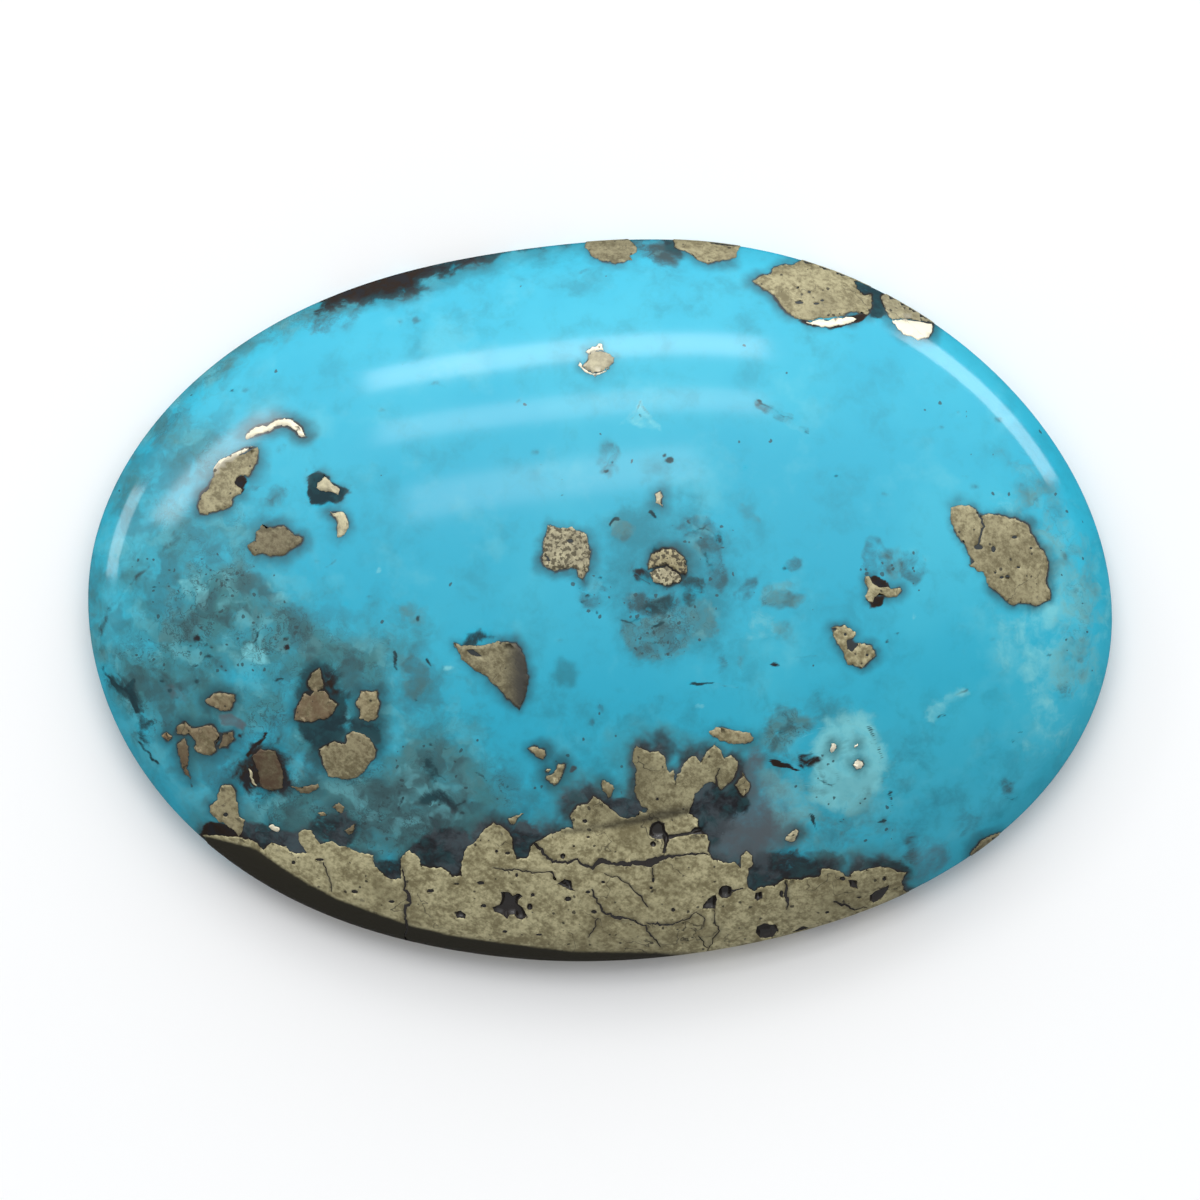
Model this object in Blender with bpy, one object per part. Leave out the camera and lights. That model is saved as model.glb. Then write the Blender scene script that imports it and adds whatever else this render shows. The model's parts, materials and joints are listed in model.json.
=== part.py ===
# Polished turquoise cabochon with a pyrite seam: one solid stone, lying on its flat back.
# Metres, +Z up, +X along the stone's length, origin under the middle of its box.

import math

import bmesh
import bpy
from mathutils import Matrix, Vector

mm = 0.001

# Outline, seen from above: a full oval, turned a little, with a few low waves round it
# (waves per turn, cosine part, sine part), as a stone shaped by hand against a wheel has.
half_length = 20.30 * mm
half_width = 15.52 * mm
outline_power = 1.93
outline_turn = math.radians(-5.7)
outline_waves = (
    (2, 0.79 * mm, 0.585 * mm),
    (3, -0.05 * mm, -0.10 * mm),
    (5, 0.035 * mm, -0.06 * mm),
)
# Where the outline's own centre lies, so that the origin is under the middle of the box.
outline_centre = Vector((0.006 * mm, -0.073 * mm, 0.0))

# Profile, from the flat back up to the crown.
stone_height = 7.0 * mm
back_bevel_width = 0.55 * mm
back_bevel_height = 0.50 * mm
girdle_top = 1.40 * mm
crease_height = 2.50 * mm
shoulder_width = 0.80 * mm
dome_fullness = 0.45

# Shallow fold that runs along the pyrite seam, from left to right, seen from above.
# Its places and those of the pits are measured from the outline's centre.
fold_points = (
    (-1.9 * mm, -9.55 * mm),
    (0.0 * mm, -9.3 * mm),
    (2.0 * mm, -9.0 * mm),
    (3.9 * mm, -8.6 * mm),
)
fold_radius = 0.60 * mm
fold_depth = 0.12 * mm

# Open pits in the seam and at the matrix spots: place from above, length, width, turn.
pits = (
    ((-3.75 * mm, -12.5 * mm), 1.20 * mm, 0.76 * mm, 80.0),
    ((2.45 * mm, -9.35 * mm), 0.80 * mm, 0.52 * mm, 40.0),
    ((4.55 * mm, -12.3 * mm), 0.60 * mm, 0.50 * mm, 0.0),
    ((5.15 * mm, -11.9 * mm), 0.50 * mm, 0.42 * mm, 20.0),
    ((11.2 * mm, -11.9 * mm), 0.75 * mm, 0.42 * mm, 40.0),
    ((-5.7 * mm, -12.9 * mm), 0.48 * mm, 0.40 * mm, 0.0),
    ((-14.7 * mm, 4.8 * mm), 0.50 * mm, 0.34 * mm, 60.0),
    ((15.45 * mm, 2.1 * mm), 0.50 * mm, 0.34 * mm, 15.0),
)
pit_depth = 0.30 * mm

# Fineness of the facets.
around = 120
dome_rings = 16
pit_segments = 12
pit_rings = 6
fold_sides = 16

stone_colour = (0.075, 0.47, 0.62, 1.0)
stone_roughness = 0.15


def outline_radius(angle):
    """Distance from the stone's upright axis to its edge, in the direction of the angle."""
    turned = angle - outline_turn
    along = abs(math.cos(turned)) / half_length
    across = abs(math.sin(turned)) / half_width
    radius = (along**outline_power + across**outline_power) ** (-1 / outline_power)
    for waves, cosine, sine in outline_waves:
        radius += cosine * math.cos(waves * angle) + sine * math.sin(waves * angle)
    return radius


def dome_height(share):
    """Height of the dome at a share of the way from the axis out to the crease."""
    fall = (1 - dome_fullness) * share**2 + dome_fullness * share**4
    return crease_height + (stone_height - crease_height) * (1 - fall)


def surface_height(x, y):
    """Height of the stone's upper surface over a point of the base plane."""
    radius = math.hypot(x, y)
    edge = outline_radius(math.atan2(y, x))
    inset = edge - radius
    if inset < shoulder_width:
        return girdle_top + (crease_height - girdle_top) * inset / shoulder_width
    return dome_height(radius / (edge - shoulder_width))


def place_ring(verts, inset, height, share=1.0):
    """Moves a ring of vertices to the outline, drawn in by an inset and scaled by a share."""
    for vert in verts:
        angle = math.atan2(vert.co.y, vert.co.x)
        radius = (outline_radius(angle) - inset) * share
        vert.co = (radius * math.cos(angle), radius * math.sin(angle), height)


def raise_ring(bm, edges, inset, height, share=1.0):
    """Extrudes the open ring of edges, places the new ring and gives back its edges."""
    result = bmesh.ops.extrude_edge_only(bm, edges=edges)["geom"]
    verts = [item for item in result if isinstance(item, bmesh.types.BMVert)]
    place_ring(verts, inset, height, share)
    return [item for item in result if isinstance(item, bmesh.types.BMEdge)]


def stone_mesh():
    """The whole stone: flat back, back bevel, girdle, shoulder and dome, ring by ring."""
    bm = bmesh.new()
    base = bmesh.ops.create_circle(bm, cap_ends=True, segments=around, radius=half_length)["verts"]
    place_ring(base, back_bevel_width, 0.0)
    edges = [edge for edge in bm.edges if edge.is_boundary]
    edges = raise_ring(bm, edges, 0.0, back_bevel_height)
    edges = raise_ring(bm, edges, 0.0, girdle_top)
    edges = raise_ring(bm, edges, shoulder_width, crease_height)
    for ring in range(1, dome_rings):
        share = math.cos(math.pi / 2 * ring / dome_rings)
        edges = raise_ring(bm, edges, shoulder_width, dome_height(share), share)
    crown = bmesh.ops.holes_fill(bm, edges=edges, sides=around)["faces"]
    centre = bmesh.ops.poke(bm, faces=crown)["verts"][0]
    centre.co = (0.0, 0.0, stone_height)
    bmesh.ops.recalc_face_normals(bm, faces=bm.faces)
    mesh = bpy.data.meshes.new("cabochon")
    bm.to_mesh(mesh)
    bm.free()
    return mesh


def add_object(name, mesh):
    """Links an object with this mesh into the scene."""
    item = bpy.data.objects.new(name, mesh)
    item.location = outline_centre
    bpy.context.scene.collection.objects.link(item)
    return item


def as_cutter(item):
    """Shows an object as a wire guide: it only cuts the stone."""
    item.hide_render = True
    item.display_type = "WIRE"
    return item


def surface_normal(x, y):
    """Outward direction of the upper surface over a point of the base plane."""
    step = 0.02 * mm
    slope_x = (surface_height(x + step, y) - surface_height(x - step, y)) / (2 * step)
    slope_y = (surface_height(x, y + step) - surface_height(x, y - step)) / (2 * step)
    return Vector((-slope_x, -slope_y, 1.0)).normalized()


def pit_cutters():
    """Flattened balls that sit half in the surface, one for each open pit."""
    bm = bmesh.new()
    for (x, y), length, width, turn in pits:
        segments = {"u_segments": pit_segments, "v_segments": pit_rings}
        ball = bmesh.ops.create_uvsphere(bm, radius=1.0, **segments)["verts"]
        bmesh.ops.scale(bm, verts=ball, vec=(length / 2, width / 2, pit_depth))
        tilt = Vector((0, 0, 1)).rotation_difference(surface_normal(x, y)).to_matrix()
        rotation = tilt @ Matrix.Rotation(math.radians(turn), 3, "Z")
        bmesh.ops.rotate(bm, verts=ball, cent=(0, 0, 0), matrix=rotation)
        bmesh.ops.translate(bm, verts=ball, vec=(x, y, surface_height(x, y)))
    mesh = bpy.data.meshes.new("pit_cutters")
    bm.to_mesh(mesh)
    bm.free()
    return as_cutter(add_object("pit_cutters", mesh))


def above_fold(x, y):
    """Place for the bar's axis: its underside lies one fold depth below the surface here."""
    surface = Vector((x, y, surface_height(x, y)))
    return surface + surface_normal(x, y) * (fold_radius - fold_depth)


def fold_cutter():
    """Round bar laid along the seam, so far up that only its underside bites into the dome."""
    stations = [above_fold(x, y) for x, y in fold_points]
    run = (stations[-1] - stations[0]).normalized()
    upright = Vector((0, 0, 1)).rotation_difference(run).to_matrix()
    bm = bmesh.new()
    circle = {"cap_ends": True, "segments": fold_sides, "radius": fold_radius}
    verts = bmesh.ops.create_circle(bm, **circle)["verts"]
    bmesh.ops.rotate(bm, verts=verts, cent=(0, 0, 0), matrix=upright)
    bmesh.ops.translate(bm, verts=verts, vec=stations[0])
    edges = list(bm.edges)
    for here, ahead in zip(stations, stations[1:]):
        result = bmesh.ops.extrude_edge_only(bm, edges=edges)["geom"]
        verts = [item for item in result if isinstance(item, bmesh.types.BMVert)]
        edges = [item for item in result if isinstance(item, bmesh.types.BMEdge)]
        bmesh.ops.translate(bm, verts=verts, vec=ahead - here)
    bmesh.ops.holes_fill(bm, edges=edges, sides=fold_sides)
    bmesh.ops.recalc_face_normals(bm, faces=bm.faces)
    mesh = bpy.data.meshes.new("fold_cutter")
    bm.to_mesh(mesh)
    bm.free()
    return as_cutter(add_object("fold_cutter", mesh))


def cut(item, cutter):
    """Takes the cutter's shape out of the object."""
    modifier = item.modifiers.new(cutter.name, "BOOLEAN")
    modifier.operation = "DIFFERENCE"
    modifier.solver = "EXACT"
    modifier.object = cutter


def stone_material():
    """Plain turquoise, polished."""
    material = bpy.data.materials.new("turquoise")
    material.use_nodes = True
    shader = material.node_tree.nodes["Principled BSDF"]
    shader.inputs["Base Color"].default_value = stone_colour
    shader.inputs["Roughness"].default_value = stone_roughness
    shader.inputs["Metallic"].default_value = 0.0
    return material


for old in list(bpy.data.objects):
    bpy.data.objects.remove(old)

cabochon = add_object("cabochon", stone_mesh())
cabochon.data.materials.append(stone_material())
cut(cabochon, pit_cutters())
cut(cabochon, fold_cutter())
cabochon.data.shade_smooth()
cabochon.data.set_sharp_from_angle(angle=math.radians(14.0))
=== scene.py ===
# Polished turquoise cabochon with a pyrite seam, lying on its flat back, seen from straight above.
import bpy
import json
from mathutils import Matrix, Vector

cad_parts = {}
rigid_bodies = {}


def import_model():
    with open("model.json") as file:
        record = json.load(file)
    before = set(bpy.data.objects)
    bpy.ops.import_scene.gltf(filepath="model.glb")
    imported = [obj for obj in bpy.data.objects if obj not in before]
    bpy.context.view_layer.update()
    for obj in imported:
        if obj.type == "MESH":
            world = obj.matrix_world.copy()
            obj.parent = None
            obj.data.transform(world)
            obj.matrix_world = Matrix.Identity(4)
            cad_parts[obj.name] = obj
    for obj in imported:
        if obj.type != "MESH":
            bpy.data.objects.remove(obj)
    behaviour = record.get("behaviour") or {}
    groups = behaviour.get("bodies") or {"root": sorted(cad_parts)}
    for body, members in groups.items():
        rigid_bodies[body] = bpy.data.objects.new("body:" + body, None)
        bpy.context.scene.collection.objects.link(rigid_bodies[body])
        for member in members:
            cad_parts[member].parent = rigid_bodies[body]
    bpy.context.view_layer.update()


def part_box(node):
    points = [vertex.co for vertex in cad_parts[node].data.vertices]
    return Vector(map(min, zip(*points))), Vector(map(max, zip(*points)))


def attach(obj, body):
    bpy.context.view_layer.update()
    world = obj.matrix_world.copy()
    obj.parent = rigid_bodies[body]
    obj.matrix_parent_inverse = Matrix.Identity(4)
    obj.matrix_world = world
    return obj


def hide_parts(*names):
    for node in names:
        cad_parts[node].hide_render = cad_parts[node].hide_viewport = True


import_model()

import json
import math

import bmesh
import bpy
import numpy as np
from mathutils import Vector, noise

noise.seed_set(11)
mm = 0.001
pixelsPerMm = 24.38             # scale of the photograph at the stone's edge
photoMiddle = (600.0, 599.8)    # pixel that lies over the frame's origin

stone = {                       # the solid's own sizes, in mm and degrees
    "halfLength": 20.30,
    "halfWidth": 15.52,
    "power": 1.93,
    "turn": -5.7,
    "waves": ((2, 0.79, 0.585), (3, -0.05, -0.10), (5, 0.035, -0.06)),
    "centre": (0.006, -0.073),
    "crease": 2.50,
    "shoulder": 0.80,
    "girdleTop": 1.40,
    "girdleBottom": 0.50,
    "backBevel": 0.55,
    "fullness": 0.45,
    "height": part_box("cabochon")[1].z / mm,
    "creaseSharp": 0.04,        # rounding of the crease below the seam
    "creaseSoft": 0.42,         # and everywhere else
    "creaseTurn": 237,          # direction of the sharp part's middle
    "creaseHalf": 50,           # half of its spread
    "creaseBlend": 8,
    "foldLine": ((-1.9, -9.55, 0), (0, -9.3, 0), (2.0, -9.0, 0), (3.9, -8.6, 0)),
    "foldDepth": 0.12,
    "foldHalf": 0.24,
}
girdleRun = stone["girdleTop"] - stone["girdleBottom"]
bevelRun = math.hypot(stone["backBevel"], stone["girdleBottom"])
sideRun = girdleRun + bevelRun  # from the widest line down to the flat back
backRun = 12.5                  # how far the flat back is followed inwards


def outlineRadius(angle):
    turned = angle - math.radians(stone["turn"])
    along = np.abs(np.cos(turned)) / stone["halfLength"]
    across = np.abs(np.sin(turned)) / stone["halfWidth"]
    radius = (along ** stone["power"] + across ** stone["power"]) ** (-1 / stone["power"])
    for count, cosine, sine in stone["waves"]:
        radius = radius + cosine * np.cos(count * angle) + sine * np.sin(count * angle)
    return radius


def pastEdge(flat):                       # mm past the widest line, below nought inside it
    return np.hypot(flat[:, 0], flat[:, 1]) - outlineRadius(np.arctan2(flat[:, 1], flat[:, 0]))


def strokeGap(points, stroke):            # distance to a line of (x, y, width), below nought inside it
    nearest = np.full(len(points), 1e9)
    for (x, y, width), (nextX, nextY, nextWidth) in zip(stroke, stroke[1:]):
        start, run = np.array([x, y]), np.array([nextX - x, nextY - y])
        along = np.clip(((points - start) @ run) / (run @ run), 0, 1)
        gap = np.linalg.norm(points - start - along[:, None] * run, axis=1)
        nearest = np.minimum(nearest, gap - (width + (nextWidth - width) * along) / 2)
    return nearest


# The stone's skin is laid out flat like a map: as seen from above out to the widest line, and
# beyond it the side and the back follow on at their own length. All map places are in mm.
def wrap(flat):
    reach = np.hypot(flat[:, 0], flat[:, 1])
    angle = np.arctan2(flat[:, 1], flat[:, 0])
    edge = outlineRadius(angle)
    over = reach - edge
    share = reach / (edge - stone["shoulder"])
    fall = (1 - stone["fullness"]) * share**2 + stone["fullness"] * share**4
    dome = stone["crease"] + (stone["height"] - stone["crease"]) * (1 - fall)
    stops = (-stone["shoulder"], 0, girdleRun, sideRun, sideRun + backRun)
    insets = (stone["shoulder"], 0, 0, stone["backBevel"], stone["backBevel"] + backRun)
    heights = (stone["crease"], stone["girdleTop"], stone["girdleBottom"], 0, 0)
    radius = np.where(over < -stone["shoulder"], reach, edge - np.interp(over, stops, insets))
    slope = (stone["crease"] - stone["girdleTop"]) / stone["shoulder"]
    side = np.where(over < 0, stone["girdleTop"] - slope * over, np.interp(over, stops, heights))
    away = np.abs((np.degrees(angle) - stone["creaseTurn"] + 180) % 360 - 180)
    blend = (stone["creaseHalf"] - stone["creaseBlend"], stone["creaseHalf"] + stone["creaseBlend"])
    rounding = np.interp(away, blend, (stone["creaseSharp"], stone["creaseSoft"]))
    near = np.clip(0.5 + 0.5 * (side - dome) / rounding, 0, 1)
    rounded = side * (1 - near) + dome * near - rounding * near * (1 - near)
    fold = np.exp(-(strokeGap(flat, stone["foldLine"]) / stone["foldHalf"]) ** 2)
    height = np.where(over < 0, rounded, side) - stone["foldDepth"] * fold
    x = radius * np.cos(angle) + stone["centre"][0]
    y = radius * np.sin(angle) + stone["centre"][1]
    return np.stack([x, y, height], axis=1)


def wrapNormal(flat, step=0.02):
    east = wrap(flat + (step, 0)) - wrap(flat - (step, 0))
    north = wrap(flat + (0, step)) - wrap(flat - (0, step))
    normal = np.cross(east, north)
    return normal / np.linalg.norm(normal, axis=1, keepdims=True)


def fromPhoto(pixels):                    # photograph pixels to map mm
    pixels = np.asarray(pixels, float)
    x = (pixels[:, 0] - photoMiddle[0]) / pixelsPerMm - stone["centre"][0]
    y = (photoMiddle[1] - pixels[:, 1]) / pixelsPerMm - stone["centre"][1]
    return np.stack([x, y], axis=1)


def toPhoto(flat):                        # map mm to photograph pixels
    x = (flat[:, 0] + stone["centre"][0]) * pixelsPerMm + photoMiddle[0]
    y = photoMiddle[1] - (flat[:, 1] + stone["centre"][1]) * pixelsPerMm
    return np.stack([x, y], axis=1)


def beyondEdge(stops):                    # (direction in degrees, mm past the widest line) to pixels
    angle = np.radians([direction for direction, over in stops])
    reach = outlineRadius(angle) + np.array([over for direction, over in stops])
    flat = np.stack([reach * np.cos(angle), reach * np.sin(angle)], axis=1)
    return [tuple(place) for place in toPhoto(flat)]


# Pyrite outlines, read from the photograph in its pixels. "rust" browns the metal.
# The glint value pales it: a painted highlight where a facet catches the light.
seam = {
    "top": [
        (203, 835), (215, 835), (232, 836), (240, 837), (250, 840), (258, 842), (260, 846), (264, 850),
        (270, 844), (276, 843), (287, 845), (290, 851), (296, 853), (308, 852), (303, 845), (299, 838),
        (300, 832), (306, 829), (313, 831), (317, 838), (322, 843), (333, 841), (341, 845), (352, 848),
        (362, 852), (374, 854), (375, 866), (380, 871), (388, 876), (393, 879), (401, 878), (401, 870),
        (402, 858), (406, 852), (410, 850), (416, 853), (420, 860), (423, 864), (432, 867), (442, 866),
        (448, 871), (452, 876), (463, 876), (463, 860), (466, 847), (477, 840), (484, 830), (490, 825),
        (495, 822), (503, 826), (510, 832), (513, 838), (513, 846), (516, 858), (527, 857), (531, 846),
        (537, 840), (547, 835), (556, 831), (566, 826), (573, 828), (570, 815), (578, 804), (590, 800),
        (594, 794), (600, 800), (610, 807), (617, 812), (625, 817), (637, 816), (640, 810), (646, 812),
        (648, 808), (640, 803), (634, 792), (636, 780), (636, 770), (633, 762), (633, 750), (636, 745),
        (641, 747), (650, 751), (660, 750), (664, 756), (667, 768), (670, 773), (673, 768), (675, 784),
        (677, 772), (681, 771), (684, 762), (690, 756), (695, 755), (700, 760), (708, 751), (713, 744),
        (720, 749), (724, 758), (730, 754), (734, 757), (738, 762), (737, 768), (732, 778), (727, 783),
        (720, 789), (716, 784), (712, 781), (706, 783), (700, 788), (694, 793), (692, 800), (689, 812),
        (697, 818), (699, 826), (700, 831), (705, 835), (708, 841), (706, 850), (713, 858), (722, 862),
        (733, 861), (740, 868), (741, 856), (746, 850), (751, 855), (752, 862), (748, 868), (747, 876),
        (747, 886), (753, 891), (757, 888), (766, 885), (775, 886), (784, 878), (800, 878), (818, 876),
        (822, 869), (830, 869), (840, 870), (844, 876), (848, 876), (853, 870), (866, 868), (874, 867),
        (880, 866), (890, 867), (896, 871), (906, 872), (902, 880), (903, 891),
    ],
    "underside": [                        # runs on over the side and a little under the back
        (-43, 0.5), (-48, 1.1), (-56, 0.9), (-62, 1.9), (-70, 2.6), (-77, 2.1), (-84, 3.4), (-92, 3.9),
        (-99, 2.9), (-106, 3.6), (-114, 2.4), (-122, 2.8), (-130, 1.5), (-137, 1.0), (-143, 0.5),
        (-148, 0.1),
    ],
    "holes": [                            # open pits with a shape of their own
        [(650, 826), (652, 822), (658, 820), (664, 822), (665, 829), (668, 833), (676, 833), (690, 831),
         (694, 826), (702, 826), (704, 833), (690, 834), (676, 836), (669, 838), (667, 844), (665, 853),
         (662, 852), (664, 843), (662, 838), (655, 838), (649, 834)],
        [(501, 891), (509, 891), (513, 895), (519, 892), (523, 896), (519, 899), (518, 903), (523, 907),
         (527, 915), (522, 919), (517, 918), (514, 914), (509, 915), (507, 919), (502, 914), (495, 912),
         (493, 907), (500, 904), (502, 899)],
        [(715, 894), (717, 899), (714, 908), (702, 908), (703, 904), (708, 898)],
        [(755, 892), (762, 891), (762, 898), (757, 900), (754, 898)],
        [(888, 885), (889, 888), (882, 898), (874, 903), (870, 900), (870, 895), (878, 890)],
        [(558, 883), (565, 878), (571, 880), (572, 887), (575, 890), (568, 889), (562, 885)],
        [(455, 911), (461, 910), (466, 914), (465, 918), (457, 917)],
        [(848, 879), (856, 880), (857, 888), (850, 886)],
        [(793, 931), (803, 926), (813, 928), (808, 937), (795, 942)],
        [(757, 926), (764, 923), (776, 924), (778, 930), (772, 937), (760, 938), (756, 933)],
    ],
    "dots": [                             # small round pits: x, y, width, height
        (725, 891, 14, 14), (563, 855, 5, 6), (585, 820, 5, 4), (653, 843, 6, 6), (568, 898, 7, 5),
        (594, 911, 6, 4), (588, 891, 5, 3), (533, 894, 4, 4), (484, 905, 5, 4), (530, 906, 6, 7),
        (517, 874, 3, 4), (497, 850, 3, 3), (508, 852, 5, 3), (481, 882, 7, 4), (355, 891, 7, 4),
        (392, 901, 6, 3), (431, 890, 7, 4), (842, 878, 6, 4), (884, 878, 4, 5), (781, 893, 4, 7),
        (653, 879, 3, 5), (651, 887, 3, 3), (320, 859, 9, 3), (294, 862, 4, 4), (673, 909, 4, 4),
        (859, 897, 5, 2), (827, 912, 4, 3), (600, 797, 3, 2), (657, 798, 3, 3), (588, 836, 3, 2),
        (574, 845, 2, 2), (539, 934, 6, 2), (505, 931, 5, 3), (457, 883, 5, 2), (603, 881, 4, 3),
    ],
    "cracks": [                           # (x, y, width) along each crack
        [(403, 866, 2), (406, 878, 2), (406, 888, 2.4), (408, 896, 3), (410, 902, 4), (405, 907, 3),
         (405, 918, 2), (407, 924, 2.2), (406, 940, 1.6)],
        [(532, 841, 3), (540, 847, 3), (547, 857, 3), (558, 861, 2), (566, 861, 2), (575, 859, 2),
         (585, 864, 3), (593, 867, 4), (597, 862, 4), (603, 860, 6), (612, 863, 3), (625, 862, 4),
         (640, 862, 4), (650, 862, 7), (658, 858, 6), (666, 855, 3), (680, 854, 2), (694, 853, 2),
         (709, 852, 1.6)],
        [(494, 866, 1.4), (505, 869, 1.8), (520, 869, 1.6), (538, 871, 1.4), (551, 871, 1.6),
         (556, 878, 2)],
        [(592, 887, 1.6), (595, 897, 2), (599, 905, 2), (605, 912, 2.4), (612, 916, 2.6), (620, 917, 3),
         (628, 919, 2), (637, 920, 1.8), (643, 924, 1.8), (650, 934, 1.8), (657, 941, 1.6),
         (660, 946, 1.2)],
        [(646, 922, 1.4), (655, 924, 2.4), (668, 924, 2), (680, 922, 1.4), (690, 917, 1.4),
         (697, 911, 1.2), (705, 918, 1.2), (703, 926, 1)],
        [(604, 872, 1), (620, 877, 1.2), (632, 886, 1.4), (640, 895, 1.6), (648, 906, 1)],
        [(652, 866, 1.4), (653, 876, 1.2)],
        [(714, 908, 1.2), (713, 918, 1), (719, 928, 1.4), (717, 934, 1.4), (711, 940, 1.2),
         (708, 950, 1)],
        [(785, 880, 1.4), (786, 890, 3), (787, 900, 3), (787, 910, 1.2)],
        [(834, 902, 1.6), (842, 904, 2.4), (850, 909, 1.8), (866, 907, 1)],
        [(728, 890, 2.4), (742, 888, 1.6)],
        [(325, 861, 1.4), (328, 872, 1.2), (332, 884, 1.2), (331, 890, 1)],
        [(698, 936, 1), (704, 941, 1.4), (708, 947, 1)],
        [(598, 918, 1), (595, 928, 1.4), (588, 936, 1)],
        [(720, 768, 1), (716, 776, 1.4), (716, 785, 2)],
    ],
    "shadeBand": [                             # below this line the shoulder's pyrite gets painted shade, standing in for the steep shoulder's dark reflection
        (150, 820), (204, 835), (256, 847), (278, 863), (308, 882), (338, 898), (379, 913), (416, 926),
        (461, 936), (515, 943), (571, 950), (620, 951), (664, 950), (701, 946), (735, 944), (735, 1100),
        (100, 1100)],
    # where the painted shadow along the fold runs: (x, y, width)
    "fold": [
        (566, 829, 1), (580, 828, 4), (600, 826, 4), (620, 822, 5), (642, 818, 7), (660, 814, 11),
        (676, 811, 9), (692, 808, 6)],
}
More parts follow.
